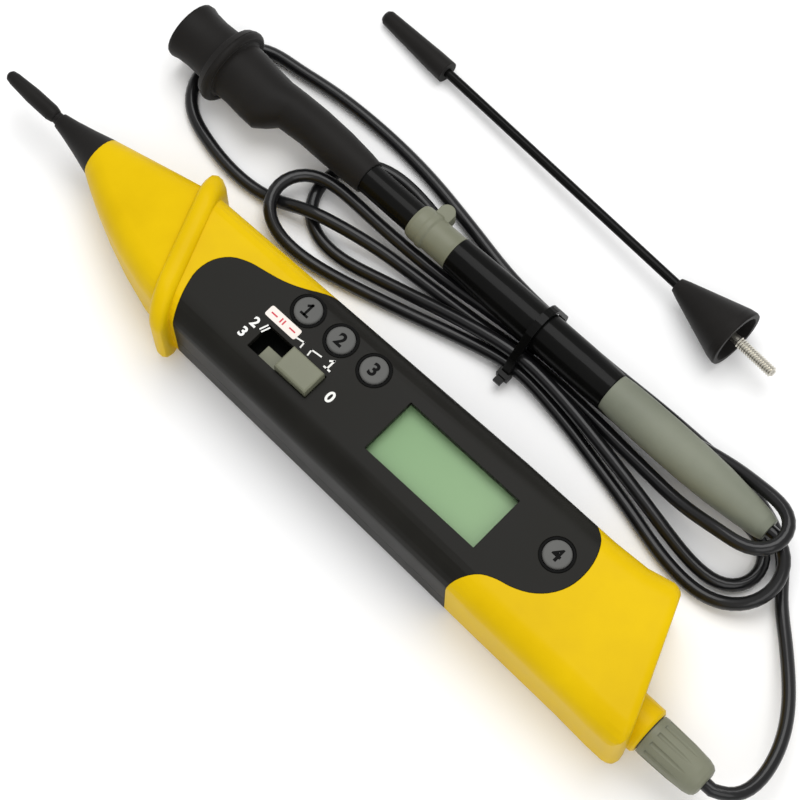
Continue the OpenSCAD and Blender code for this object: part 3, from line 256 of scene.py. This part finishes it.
glassSettings = {"tint": (0.93, 0.96, 0.93), "gloss": (0.02, 0.02, 0.02), "ior": 1.45, "rough": (0.05, 0.12),
                 "smudgeScale": 120.0, "smudgeDetail": 3.0}
# painted shading: the display's green runs from darker at its near end to lighter at its far end along x, in
# millimetres
displaySettings = {"near": (0.268, 0.398, 0.215), "far": (0.317, 0.439, 0.255), "shadedX": 20.0, "litX": 53.0,
                   "rough": 0.45, "fineScale": 5000.0, "fineDetail": 2.0, "bump": 0.08, "bumpDepth": 0.01}


def makeGlass(s):
    material, tree, shader = newMaterial("windowGlass")
    coords = tree.nodes.new("ShaderNodeTexCoord").outputs["Object"]
    smudge = noiseNode(tree, coords, s["smudgeScale"], s["smudgeDetail"])
    clear = tree.nodes.new("ShaderNodeBsdfTransparent")
    clear.inputs["Color"].default_value = (*s["tint"], 1)
    shader.inputs["Base Color"].default_value = (*s["gloss"], 1)
    link(tree, rangeNode(tree, smudge, *s["rough"]), shader.inputs["Roughness"])
    fresnel = tree.nodes.new("ShaderNodeFresnel")
    fresnel.inputs["IOR"].default_value = s["ior"]
    backfacing = tree.nodes.new("ShaderNodeNewGeometry").outputs["Backfacing"]
    front = rangeNode(tree, backfacing, 1.0, 0.0, 0.0, 1.0)  # only the outer faces shine
    shine = tree.nodes.new("ShaderNodeMath")
    shine.operation = "MULTIPLY"
    link(tree, fresnel.outputs["Fac"], shine.inputs[0])
    link(tree, front, shine.inputs[1])
    mix = tree.nodes.new("ShaderNodeMixShader")
    link(tree, shine.outputs["Value"], mix.inputs["Fac"])
    link(tree, clear.outputs["BSDF"], mix.inputs[1])
    link(tree, shader.outputs["BSDF"], mix.inputs[2])
    link(tree, mix.outputs["Shader"], tree.nodes["Material Output"].inputs["Surface"])
    return material


def makeDisplay(s):
    material, tree, shader = newMaterial("displayGreen")
    coords = tree.nodes.new("ShaderNodeTexCoord").outputs["Object"]
    split = tree.nodes.new("ShaderNodeSeparateXYZ")
    link(tree, coords, split.inputs["Vector"])
    # painted shading across the display, darker at the near end and lighter at the far end
    paintedShading = rangeNode(tree, split.outputs["X"], 0.0, 1.0, s["shadedX"] * mm, s["litX"] * mm)
    link(tree, mixColour(tree, paintedShading, s["near"], s["far"]), shader.inputs["Base Color"])
    shader.inputs["Roughness"].default_value = s["rough"]
    fine = noiseNode(tree, coords, s["fineScale"], s["fineDetail"])
    link(tree, bumpNode(tree, fine, s["bump"], s["bumpDepth"] * mm), shader.inputs["Normal"])
    return material


glassLook = makeGlass(glassSettings)
displayLook = makeDisplay(displaySettings)
print("materials made")


# The lead: the route of its free stretch and of its hank, in metres

cordRoute = [
    (0.1195, -0.0075, 0.012), (0.1215, -0.0075, 0.012), (0.1239, -0.0069, 0.0119), (0.1259, -0.0051, 0.0116),
    (0.1271, -0.0022, 0.0111), (0.1273, 0.0014, 0.0105), (0.1264, 0.0072, 0.0096), (0.1243, 0.0128, 0.0088),
    (0.1207, 0.0187, 0.0074), (0.1158, 0.0245, 0.0057), (0.1115, 0.0291, 0.0041), (0.1069, 0.0336, 0.0027),
    (0.1036, 0.037, 0.0019), (0.1012, 0.0406, 0.0017), (0.0984, 0.044, 0.0017), (0.0946, 0.0469, 0.0017),
    (0.0896, 0.0491, 0.0017), (0.0842, 0.0505, 0.0017), (0.0796, 0.0511, 0.0017), (0.076, 0.0511, 0.0017)]
hankRoute = [
    (0.076, 0.0511, 0.0017), (0.0724, 0.0511, 0.0017), (0.058, 0.051, 0.0018), (0.04, 0.05, 0.0025),
    (0.0255, 0.0498, 0.0029), (0.0106, 0.0508, 0.0025), (-0.005, 0.0538, 0.002), (-0.021, 0.0565, 0.0017),
    (-0.038, 0.0574, 0.0017), (-0.054, 0.0565, 0.0017), (-0.063, 0.055, 0.0017), (-0.0702, 0.0542, 0.0017),
    (-0.0756, 0.0507, 0.0017), (-0.0786, 0.0451, 0.0017), (-0.0784, 0.0387, 0.0017), (-0.0776, 0.0354, 0.0017),
    (-0.0752, 0.032, 0.0017), (-0.072, 0.0296, 0.0017), (-0.0656, 0.0276, 0.0017), (-0.056, 0.0259, 0.0017),
    (-0.049, 0.0259, 0.0017), (-0.0442, 0.0267, 0.0017), (-0.0408, 0.0276, 0.0025), (-0.0374, 0.0286, 0.0043),
    (-0.034, 0.0298, 0.0055), (-0.03, 0.0309, 0.0057), (-0.0244, 0.0325, 0.005), (-0.0148, 0.0347, 0.0036),
    (-0.0048, 0.036, 0.0024), (0.01, 0.0374, 0.002), (0.0255, 0.0388, 0.0029), (0.04, 0.0389, 0.0029),
    (0.054, 0.038, 0.0034), (0.065, 0.0369, 0.0049), (0.074, 0.0359, 0.007), (0.08, 0.0358, 0.0089),
    (0.0856, 0.0361, 0.0109), (0.0919, 0.0365, 0.0121), (0.0947, 0.0378, 0.0128), (0.0966, 0.0401, 0.0132),
    (0.0973, 0.0431, 0.0133), (0.0966, 0.0461, 0.0132), (0.0947, 0.0484, 0.0127), (0.0919, 0.0497, 0.0118),
    (0.0864, 0.0499, 0.0104), (0.0806, 0.0504, 0.0083), (0.073, 0.05, 0.006), (0.064, 0.0486, 0.0042),
    (0.054, 0.0472, 0.0032), (0.04, 0.0465, 0.0029), (0.0255, 0.0461, 0.0029), (0.0122, 0.0466, 0.0026),
    (0, 0.0479, 0.0022), (-0.01, 0.0497, 0.0019), (-0.0166, 0.0509, 0.0017), (-0.0216, 0.0514, 0.0017),
    (-0.025, 0.0514, 0.0017), (-0.0306, 0.0504, 0.0017), (-0.0352, 0.047, 0.0017), (-0.0376, 0.0418, 0.0017),
    (-0.0375, 0.0361, 0.0017), (-0.0347, 0.0311, 0.0017), (-0.0299, 0.0279, 0.0017), (-0.0258, 0.0272, 0.0017),
    (-0.0204, 0.0275, 0.0017), (-0.013, 0.0293, 0.0021), (-0.004, 0.0315, 0.0029), (0.006, 0.0338, 0.0042),
    (0.0164, 0.0358, 0.0056), (0.0255, 0.037, 0.0064), (0.038, 0.0364, 0.0061), (0.05, 0.0348, 0.0052),
    (0.062, 0.0328, 0.0044), (0.073, 0.0308, 0.0035), (0.08, 0.0296, 0.0026), (0.0856, 0.029, 0.0019),
    (0.0901, 0.0291, 0.0017), (0.0938, 0.0302, 0.0017), (0.0964, 0.033, 0.0017), (0.0974, 0.0367, 0.0017),
    (0.0964, 0.0404, 0.0017), (0.0938, 0.0432, 0.0017), (0.0901, 0.0443, 0.0017), (0.0854, 0.0443, 0.0017),
    (0.079, 0.0439, 0.0017), (0.07, 0.0434, 0.0018), (0.058, 0.043, 0.0022), (0.046, 0.0425, 0.0026),
    (0.0255, 0.0424, 0.0029), (0.014, 0.0414, 0.0033), (0, 0.0394, 0.0045), (-0.012, 0.0387, 0.0051),
    (-0.022, 0.0386, 0.0052), (-0.0276, 0.0387, 0.0053), (-0.032, 0.0387, 0.0054), (-0.036, 0.0383, 0.0055),
    (-0.0404, 0.0363, 0.0056), (-0.043, 0.0323, 0.0058), (-0.0431, 0.0275, 0.0059), (-0.0406, 0.0234, 0.0055),
    (-0.0374, 0.0217, 0.0042), (-0.0328, 0.0212, 0.0027), (-0.027, 0.0217, 0.0018), (-0.02, 0.023, 0.0017),
    (-0.011, 0.0254, 0.0017), (0, 0.0286, 0.0018), (0.0126, 0.0323, 0.0023), (0.0255, 0.0352, 0.0029),
    (0.0394, 0.0342, 0.0024), (0.054, 0.0315, 0.0018), (0.068, 0.0284, 0.0017), (0.078, 0.0259, 0.0017),
    (0.0846, 0.025, 0.0017), (0.0892, 0.0249, 0.0019), (0.0934, 0.0255, 0.0025), (0.0975, 0.0274, 0.0036),
    (0.1007, 0.0305, 0.005), (0.1021, 0.0343, 0.0064), (0.102, 0.0379, 0.0078), (0.1004, 0.041, 0.0089),
    (0.0982, 0.0432, 0.0094), (0.0957, 0.044, 0.0096), (0.0928, 0.044, 0.0096)]


def unit(v):
    return v / v.length


def tangents(p):
    out = [unit(p[1] - p[0])]
    for i in range(1, len(p) - 1):
        before, after = p[i] - p[i - 1], p[i + 1] - p[i]
        short, long = before.length, after.length
        out.append((before / short * long + after / long * short) / (short + long))
    out.append(unit(p[-1] - p[-2]))
    return out


def smoothRun(p, steps):
    t = tangents(p)
    out = []
    for i in range(len(p) - 1):
        length = (p[i + 1] - p[i]).length
        for k in range(steps):
            u = k / steps
            out.append((2 * u ** 3 - 3 * u ** 2 + 1) * p[i] + (u ** 3 - 2 * u ** 2 + u) * length * t[i]
                       + (3 * u ** 2 - 2 * u ** 3) * p[i + 1] + (u ** 3 - u ** 2) * length * t[i + 1])
    out.append(p[-1])
    return out


def evenOut(p, spacing):
    ways = [0.0]
    for i in range(1, len(p)):
        ways.append(ways[-1] + (p[i] - p[i - 1]).length)
    count = int(ways[-1] / spacing)
    out, j = [], 0
    for k in range(count + 1):
        w = ways[-1] * k / count
        while j < len(ways) - 2 and ways[j + 1] < w:
            j += 1
        u = (w - ways[j]) / (ways[j + 1] - ways[j])
        out.append(p[j].lerp(p[j + 1], min(max(u, 0.0), 1.0)))
    return out


def relaxRun(p, rounds):
    for step in range(rounds):
        inner = [(p[i - 1] + p[i + 1] + 2 * p[i]) / 4 for i in range(2, len(p) - 2)]
        p = p[:2] + inner + p[-2:]  # both ends keep their place and direction
    return p


def tubeMesh(name, path, radius, sides):
    points, faces = [], []
    side = Vector((0, 0, 1)).cross(path[1] - path[0]).normalized()
    for i, p in enumerate(path):
        ahead = (path[min(i + 1, len(path) - 1)] - path[max(i - 1, 0)]).normalized()
        side = (side - side.dot(ahead) * ahead).normalized()
        up = ahead.cross(side)
        for k in range(sides):
            a = math.tau * k / sides
            points.append(p + radius * (math.cos(a) * side + math.sin(a) * up))
    for i in range(len(path) - 1):
        for k in range(sides):
            n = (k + 1) % sides
            faces.append((i * sides + k, i * sides + n, (i + 1) * sides + n, (i + 1) * sides + k))
    faces.append(tuple(reversed(range(sides))))
    faces.append(tuple((len(path) - 1) * sides + k for k in range(sides)))
    return meshFrom(name, points, faces)


# diameter and spacing in millimetres, length in metres
leadSettings = {
    "diameter": 3.1, "length": 1.08, "sides": 20, "steps": 6, "spacing": 1.8, "rounds": 6, "sharp": 50,
    "carries": ("plug_sleeve", "plug_pin", "hank_tie", "probe_grip", "probe_handle", "probe_collar", "probe_barrel",
                "probe_needle", "clip_frame", "clip_jaw", "clip_pin", "clip_spring"),
}


def makeLead(s):
    route = [Vector(p) for p in cordRoute] + [Vector(p) for p in hankRoute[1:]]
    path = relaxRun(evenOut(smoothRun(route, s["steps"]), s["spacing"] * mm), s["rounds"])
    mesh = tubeMesh("lead", path, s["diameter"] / 2 * mm, s["sides"])
    sharpen(mesh, s["sharp"])
    lead = addObject("lead", mesh, "meter")
    paint(lead, cordLook)
    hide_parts("lead_cord", "lead_hank")
    length = sum((path[i + 1] - path[i]).length for i in range(len(path) - 1))
    print("lead made,", round(length, 3), "m long")
    return lead, path


leadPiece, leadPath = makeLead(leadSettings)


# Looks of the CAD pieces

nodesOfLook = (
    (caseLook, ("front_case", "rear_case", "battery_cover")),
    (yellowLook, ("nose_cover", "tail_cover")),
    (rubberLook, ("tip_cone", "tip_sheath", "clip_boot", "extension_cap", "extension_cone", "contact_strips")),
    (plasticLook, ("probe_handle", "probe_barrel", "extension_rod", "hank_tie")),
    (cordLook, ("lead_cord", "lead_hank")),
    (greyLook, ("mode_switch", "plug_sleeve", "probe_collar")),
    (gripLook, ("probe_grip",)),
    (keyLook, ("hold_button", "range_button", "select_button", "input_button")),
    (glassLook, ("display_window",)),
    (displayLook, ("display_cell",)),
    (boardLook, ("circuit_board",)),
    (steelLook, ("tip_needle", "probe_needle", "clip_frame", "clip_jaw", "clip_pin", "clip_spring", "key_domes",
                 "cell_contacts", "cover_screw", "case_screws", "plug_pin", "extension_pin", "fuse")),
    (brassLook, ("needle_socket", "wiper_plate", "fuse_clips", "lead_jack")),
    (jacketLook, ("cells",)),
)
for nodeLook, nodeNames in nodesOfLook:
    for nodeName in nodeNames:
        paintNode(nodeName, nodeLook)
print("nodes painted")


# Skins with smooth normals over the CAD pieces that need more shape or softer edges, sizes in millimetres

skinSettings = {
    "front_case": {"name": "frontCaseSkin", "body": "meter", "slot": "black_case", "look": caseLook, "sharp": 32},
    "rear_case": {"name": "rearCaseSkin", "body": "meter", "slot": "black_case", "look": caseLook, "sharp": 32},
    "nose_cover": {"name": "noseCoverSkin", "body": "meter", "slot": "yellow_cover", "look": yellowLook, "sharp": 42},
    "tail_cover": {
        "name": "tailCoverSkin", "body": "meter", "slot": "yellow_cover", "look": yellowLook, "sharp": 42,
        "corner": {"x": 99.13, "y": -13.7, "radius": 3.4, "alongEnd": (0.391, -0.921), "fromX": 94.0, "toY": -12.0,
                   "sideY": -15.5, "cutsX": (99.13, 99.9, 100.7, 101.4, 101.9), "cutsY": (-14.2, -15.6),
                   "bossY": -7.5, "bossZ": 12.0, "bossR": 5.75, "near": 0.01}},
    "clip_boot": {
        "name": "clipBootSkin", "body": "meter", "slot": "black_rubber", "look": rubberLook, "sharp": 38,
        "bell": {"x": -79.0, "y": 42.4, "z": 9.6, "length": 6.8, "share": 0.84, "narrow": 0.03},
        "bulge": {"x": -56.5, "y": 42.4, "fromX": -68.0, "spread": 4.0, "deep": 0.75, "start": 3.0}},
    "mode_switch": {
        "name": "modeSwitchSkin", "body": "switch", "slot": "grey_plastic", "look": greyLook, "sharp": 80,
        "bevel": {"width": 0.55, "above": 23.0, "flat": 1, "turn": 30, "segments": 3}},
}
mergeDistance = 0.02  # the CAD meshes are loose triangles, so their doubles are merged first


def bevelTop(bm, b):
    bmesh.ops.dissolve_limit(bm, angle_limit=math.radians(b["flat"]), verts=bm.verts, edges=bm.edges)
    edges = [e for e in bm.edges if len(e.link_faces) == 2 and e.calc_face_angle(0) > math.radians(b["turn"])
             and all(v.co.z > b["above"] * mm for v in e.verts)]
    bmesh.ops.bevel(bm, geom=edges, affect="EDGES", offset=b["width"] * mm, segments=b["segments"], profile=0.5,
                    material=-1)


def roundCorner(bm, c):
    fromX, toY, sideY = c["fromX"] * mm, c["toY"] * mm, c["sideY"] * mm
    cuts = [((cut * mm, 0, 0), (1, 0, 0)) for cut in c["cutsX"]] + [((0, cut * mm, 0), (0, 1, 0)) for cut in c["cutsY"]]
    for place, normal in cuts:  # more points to bend
        faces = [f for f in bm.faces if all(v.co.x > fromX and v.co.y < toY for v in f.verts)
                 or any(v.co.y < sideY and v.co.x > fromX for v in f.verts)]
        geometry = faces + list({e for f in faces for e in f.edges}) + list({v for f in faces for v in f.verts})
        bmesh.ops.bisect_plane(bm, geom=geometry, dist=c["near"] * mm, plane_co=place, plane_no=normal)
    endX, endY = c["alongEnd"]
    for v in bm.verts:
        x, y = v.co.x / mm - c["x"], v.co.y / mm - c["y"]
        away = math.hypot(x, y)
        offBoss = math.hypot(v.co.y / mm - c["bossY"], v.co.z / mm - c["bossZ"]) > c["bossR"]
        if x > 0 and endX * x + endY * y > 0 and away > c["radius"] and offBoss:
            v.co.x = (c["x"] + x * c["radius"] / away) * mm
            v.co.y = (c["y"] + y * c["radius"] / away) * mm


def shapeBoot(bm, bell, bulge):
    for v in bm.verts:
        if v.co.x < bell["x"] * mm:  # the bell is shorter and narrows to its mouth
            along = (bell["x"] - v.co.x / mm) / bell["length"]
            narrow = 1 - bell["narrow"] * along
            v.co.x = bell["x"] * mm + (v.co.x - bell["x"] * mm) * bell["share"]
            v.co.y = bell["y"] * mm + (v.co.y - bell["y"] * mm) * narrow
            v.co.z = bell["z"] * mm + (v.co.z - bell["z"] * mm) * narrow
        side = bulge["y"] - v.co.y / mm
        if side > bulge["start"] and v.co.x > bulge["fromX"] * mm:  # the side towards the meter is fuller
            away = (v.co.x / mm - bulge["x"]) / bulge["spread"]
            fade = min(1.0, (side - bulge["start"]) / bulge["start"])
            v.co.y -= bulge["deep"] * math.exp(-away * away) * fade * mm


def makeSkin(node, s):
    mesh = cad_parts[node].data.copy()
    mesh.name = s["name"]
    bm = bmesh.new()
    bm.from_mesh(mesh)
    bmesh.ops.remove_doubles(bm, verts=bm.verts, dist=mergeDistance * mm)
    if "bevel" in s:
        bevelTop(bm, s["bevel"])
    if "corner" in s:
        roundCorner(bm, s["corner"])
    if "bell" in s:
        shapeBoot(bm, s["bell"], s["bulge"])
    bm.to_mesh(mesh)
    bm.free()
    for attribute in ("custom_normal", "sharp_face", "sharp_edge"):
        if attribute in mesh.attributes:
            mesh.attributes.remove(mesh.attributes[attribute])
    sharpen(mesh, s["sharp"])
    skin = addObject(s["name"], mesh, s["body"])
    weighNormals(skin)
    paint(skin, s["look"])
    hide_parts(node)
    return skin


skins = {nodeName: makeSkin(nodeName, skinValues) for nodeName, skinValues in skinSettings.items()}
print("skins made")


# Bead round the boot's flange, and the thread on the extension's pin, sizes in millimetres

beadSettings = {"x": -70.75, "y": 42.4, "z": 9.6, "halfW": 8.75, "halfH": 8.2, "radius": 1.2, "around": 56,
                "sides": 14, "sharp": 60}
threadSettings = {"place": (-57.5, 79.8), "yaw": -3.25, "tipR": 1.9, "coneR": 7.5, "length": 116.0, "from": 0.6,
                  "to": 11.1, "low": 1.12, "high": 1.36, "pitch": 0.62, "nib": 0.2, "nibR": 0.7, "sides": 28,
                  "sharp": 60}
spinMerge = 0.001


def spinRound(bm, steps):
    bmesh.ops.spin(bm, geom=bm.verts[:] + bm.edges[:], axis=(1, 0, 0), cent=(0, 0, 0), angle=math.tau, steps=steps,
                   use_merge=True)
    bmesh.ops.remove_doubles(bm, verts=bm.verts, dist=spinMerge * mm)


def finishSpun(bm, name, sharp):
    bmesh.ops.recalc_face_normals(bm, faces=bm.faces)
    mesh = bpy.data.meshes.new(name)
    bm.to_mesh(mesh)
    bm.free()
    sharpen(mesh, sharp)
    return addObject(name, mesh, "meter")


def makeBead(s):
    bm = bmesh.new()
    bmesh.ops.create_circle(bm, segments=s["sides"], radius=s["radius"] * mm)
    bmesh.ops.translate(bm, verts=bm.verts, vec=(0, s["halfW"] * mm, 0))
    spinRound(bm, s["around"])
    for v in bm.verts:  # the flange is a little lower than wide
        v.co.z += (s["halfH"] - s["halfW"]) * mm * v.co.z / math.hypot(v.co.y, v.co.z)
    bmesh.ops.translate(bm, verts=bm.verts, vec=(s["x"] * mm, s["y"] * mm, s["z"] * mm))
    bead = finishSpun(bm, "bootBead", s["sharp"])
    paint(bead, rubberLook)
    return bead


def makeThread(s):
    middle = (s["low"] + s["high"]) / 2
    cycle = (s["low"], middle, s["high"], middle)  # radii over one turn of the thread
    first, quarter = s["length"] + s["from"], s["pitch"] / len(cycle)
    profile = [(first, 0.0)]
    for i in range(int((s["to"] - s["from"]) / quarter) + 1):
        profile.append((first + i * quarter, cycle[i % len(cycle)]))
    last = profile[-1][0] + s["nib"]
    profile += [(last, s["nibR"]), (last, 0.0)]
    bm = bmesh.new()
    line = [bm.verts.new((x * mm, r * mm, 0)) for x, r in profile]
    for a, b in zip(line[:-1], line[1:]):
        bm.edges.new((a, b))
    spinRound(bm, s["sides"])
    tilt = math.atan((s["coneR"] - s["tipR"]) / s["length"])  # the cap and the cone both touch the floor
    turn = (Matrix.Translation((s["place"][0] * mm, s["place"][1] * mm, s["tipR"] / math.cos(tilt) * mm))
            @ Matrix.Rotation(math.radians(s["yaw"]), 4, "Z") @ Matrix.Rotation(-tilt, 4, "Y"))
    bmesh.ops.transform(bm, matrix=turn, verts=bm.verts)
    thread = finishSpun(bm, "extensionThread", s["sharp"])
    paint(thread, steelLook)


beadPiece = makeBead(beadSettings)
makeThread(threadSettings)
print("bead and thread made")


# Printed marks: plain numerals, tick lines and a pale patch; and dark rims round the keys, which are painted shadow of
# their grooves; sizes in millimetres

inkSettings = {
    "faceZ": 24.02, "keyZ": 24.52, "layer": 0.01,
    "line": 0.36, "boldLine": 0.44, "keyLine": 0.6,
    "brackets": (((-7.7, 1.1), (-5.8, 1.45), (-5.65, 0.15)), ((-3.25, -0.05), (-3.45, 1.35), (-0.9, 1.65))),
    "bars": (((-14.9, -2.9), (-14.3, -1.2)), ((-14.2, -3.1), (-13.6, -1.4))),
    "faceOne": (((1.25, 2.3), (1.95, 2.85), (1.95, 0.5)), ((1.2, 0.5), (2.7, 0.5))),
    "faceNumerals": (("0", (7.0, -3.6), 2.7), ("2", (-16.8, -2.5), 2.4), ("3", (-17.2, -5.9), 2.4)),
    "faceWeight": 0.11,
    "patch": {"x": -12.35, "y": 1.62, "length": 9.0, "width": 2.75, "radius": 0.5, "cornerSteps": 4},
    "patchMarks": (((-15.7, 1.6), (-14.3, 1.6)), ((-13.0, 1.2), (-13.0, 2.1)), ((-12.2, 1.2), (-12.2, 2.1)),
                   ((-10.4, 1.65), (-9.0, 1.65))),
    # dark rims round the keys: painted shadow of the grooves round them
    "shadowRims": {"places": ((-10.35, 7.3), (-0.4, 7.3), (9.55, 7.3), (65.8, 4.4)), "inner": 3.42, "outer": 3.9,
             "sides": 40},
    "keyOne": (((-10.95, 8.1), (-10.3, 8.7), (-10.3, 5.9)), ((-11.1, 5.9), (-9.5, 5.9))),
    "keyNumerals": (("range_button", "2", (-0.4, 7.3)), ("select_button", "3", (9.55, 7.3)),
                    ("input_button", "4", (65.8, 4.4))),
    "keyHeight": 3.1, "keyWeight": 0.15,
}
sizePerHeight = 1.38  # the built-in font's size over the height of its numerals
numeralSteps = 4


def addInk(name, parts, body, look):
    points, faces = [], []
    for outline, z in parts:
        start = len(points)
        points += [(x * mm, y * mm, z * mm) for x, y in outline]
        faces.append(tuple(range(start, start + len(outline))))
    ink = addObject(name, meshFrom(name, points, faces, False), body)
    paint(ink, look)


def strokes(paths, width, z):
    parts = []
    for path in paths:
        for a, b in zip(path[:-1], path[1:]):
            dx, dy = b[0] - a[0], b[1] - a[1]
            length = math.hypot(dx, dy)
            ux, uy = dx / length * width / 2, dy / length * width / 2
            parts.append(([(a[0] - ux + uy, a[1] - uy - ux), (b[0] + ux + uy, b[1] + uy - ux),
                           (b[0] + ux - uy, b[1] + uy + ux), (a[0] - ux - uy, a[1] - uy + ux)], z))
    return parts


def roundedPatch(p, z):
    outline = []
    steps, radius = p["cornerSteps"], p["radius"]
    for quarter, (signX, signY) in enumerate(((1, 1), (-1, 1), (-1, -1), (1, -1))):
        cornerX = p["x"] + signX * (p["length"] / 2 - radius)
        cornerY = p["y"] + signY * (p["width"] / 2 - radius)
        for k in range(steps + 1):
            a = math.tau / 4 * (quarter + k / steps)
            outline.append((cornerX + radius * math.cos(a), cornerY + radius * math.sin(a)))
    return [(outline, z)]


def annulus(x, y, inner, outer, sides, z):
    ring = [(math.cos(math.tau * k / sides), math.sin(math.tau * k / sides)) for k in range(sides)]
    parts = []
    for (ax, ay), (bx, by) in zip(ring, ring[1:] + ring[:1]):
        parts.append(([(x + inner * ax, y + inner * ay), (x + outer * ax, y + outer * ay),
                       (x + outer * bx, y + outer * by), (x + inner * bx, y + inner * by)], z))
    return parts


def numeral(name, text, place, height, weight, z, body, look):
    curve = bpy.data.curves.new(name + "Curve", "FONT")
    curve.body = text
    curve.size = height * sizePerHeight * mm
    curve.align_x = "CENTER"
    curve.align_y = "CENTER"
    curve.offset = weight * mm
    curve.resolution_u = numeralSteps
    source = bpy.data.objects.new(name + "Source", curve)
    bpy.context.scene.collection.objects.link(source)
    bpy.context.view_layer.update()
    mesh = bpy.data.meshes.new_from_object(source.evaluated_get(bpy.context.evaluated_depsgraph_get()))
    bpy.data.objects.remove(source)
    bpy.data.curves.remove(curve)
    mesh.name = name
    middle = [(min(v.co[i] for v in mesh.vertices) + max(v.co[i] for v in mesh.vertices)) / 2 for i in (0, 1)]
    mesh.transform(Matrix.Translation((place[0] * mm - middle[0], place[1] * mm - middle[1], z * mm)))
    mesh.materials.clear()
    ink = addObject(name, mesh, body)
    paint(ink, look)


def makeInk(s):
    z, onTop = s["faceZ"], s["faceZ"] + s["layer"]
    # the dark rims round the keys are painted shadow of their grooves
    r = s["shadowRims"]
    shadowRims = [part for x, y in r["places"] for part in annulus(x, y, r["inner"], r["outer"], r["sides"], z)]
    addInk("keyShadowRims", shadowRims, "meter", darkInkAndShade)
    lines = strokes(s["brackets"] + s["bars"], s["line"], z) + strokes(s["faceOne"], s["boldLine"], onTop)
    addInk("faceLines", lines, "meter", inkWhite)
    addInk("facePatch", roundedPatch(s["patch"], z), "meter", inkPale)
    marks = strokes(s["patchMarks"], s["line"], onTop + s["layer"])
    addInk("patchMarks", marks, "meter", inkRed)
    keyOne = strokes(s["keyOne"], s["keyLine"], s["keyZ"])
    addInk("keyNumeral1", keyOne, "hold_button", darkInkAndShade)
    for text, place, height in s["faceNumerals"]:
        numeral("faceNumeral" + text, text, place, height, s["faceWeight"], z, "meter", inkWhite)
    for body, text, place in s["keyNumerals"]:
        numeral("keyNumeral" + text, text, place, s["keyHeight"], s["keyWeight"], s["keyZ"], body,
                darkInkAndShade)


makeInk(inkSettings)
print("marks printed")


# Floor and light, in metres and watts

floorSettings = {"half": 3.0}
floorLook = surface({
    "name": "floorWhite", "dark": (0.95, 0.95, 0.95), "light": (0.96, 0.96, 0.96), "rough": (0.6, 0.7),
    "specular": 0.2, "bump": 0.0, "edge": 0.0})
worldSettings = {"colour": (1.0, 1.0, 1.0), "strength": 0.68}
lightSettings = (
    {"name": "key", "size": (0.6, 0.6), "energy": 3.9, "place": (-0.12, 0.28, 0.8), "aim": (0.01, 0.02, 0.0)},
    {"name": "fill", "size": (0.6, 0.6), "energy": 1.9, "place": (0.5, -0.35, 0.7), "aim": (0.01, 0.02, 0.0)},
)


def makeFloor(s):
    half = s["half"]
    corners = [(-half, -half, 0), (half, -half, 0), (half, half, 0), (-half, half, 0)]
    mesh = meshFrom("floor", corners, [(0, 1, 2, 3)], False)
    floor = bpy.data.objects.new("floor", mesh)
    bpy.context.scene.collection.objects.link(floor)
    paint(floor, floorLook)


def makeWorld(s):
    world = bpy.data.worlds.new("world")
    world.use_nodes = True
    background = world.node_tree.nodes["Background"]
    background.inputs["Color"].default_value = (*s["colour"], 1)
    background.inputs["Strength"].default_value = s["strength"]
    bpy.context.scene.world = world


def makeLight(s):
    data = bpy.data.lights.new(s["name"], "AREA")
    data.shape = "RECTANGLE"
    data.size, data.size_y = s["size"]
    data.energy = s["energy"]
    light = bpy.data.objects.new(s["name"], data)
    bpy.context.scene.collection.objects.link(light)
    light.location = s["place"]
    light.rotation_euler = (Vector(s["place"]) - Vector(s["aim"])).to_track_quat("Z", "Y").to_euler()


makeFloor(floorSettings)
makeWorld(worldSettings)
for lightValues in lightSettings:
    makeLight(lightValues)
bpy.context.scene.view_settings.view_transform = "Standard"
bpy.context.scene.view_settings.look = "None"
print("floor and light placed")
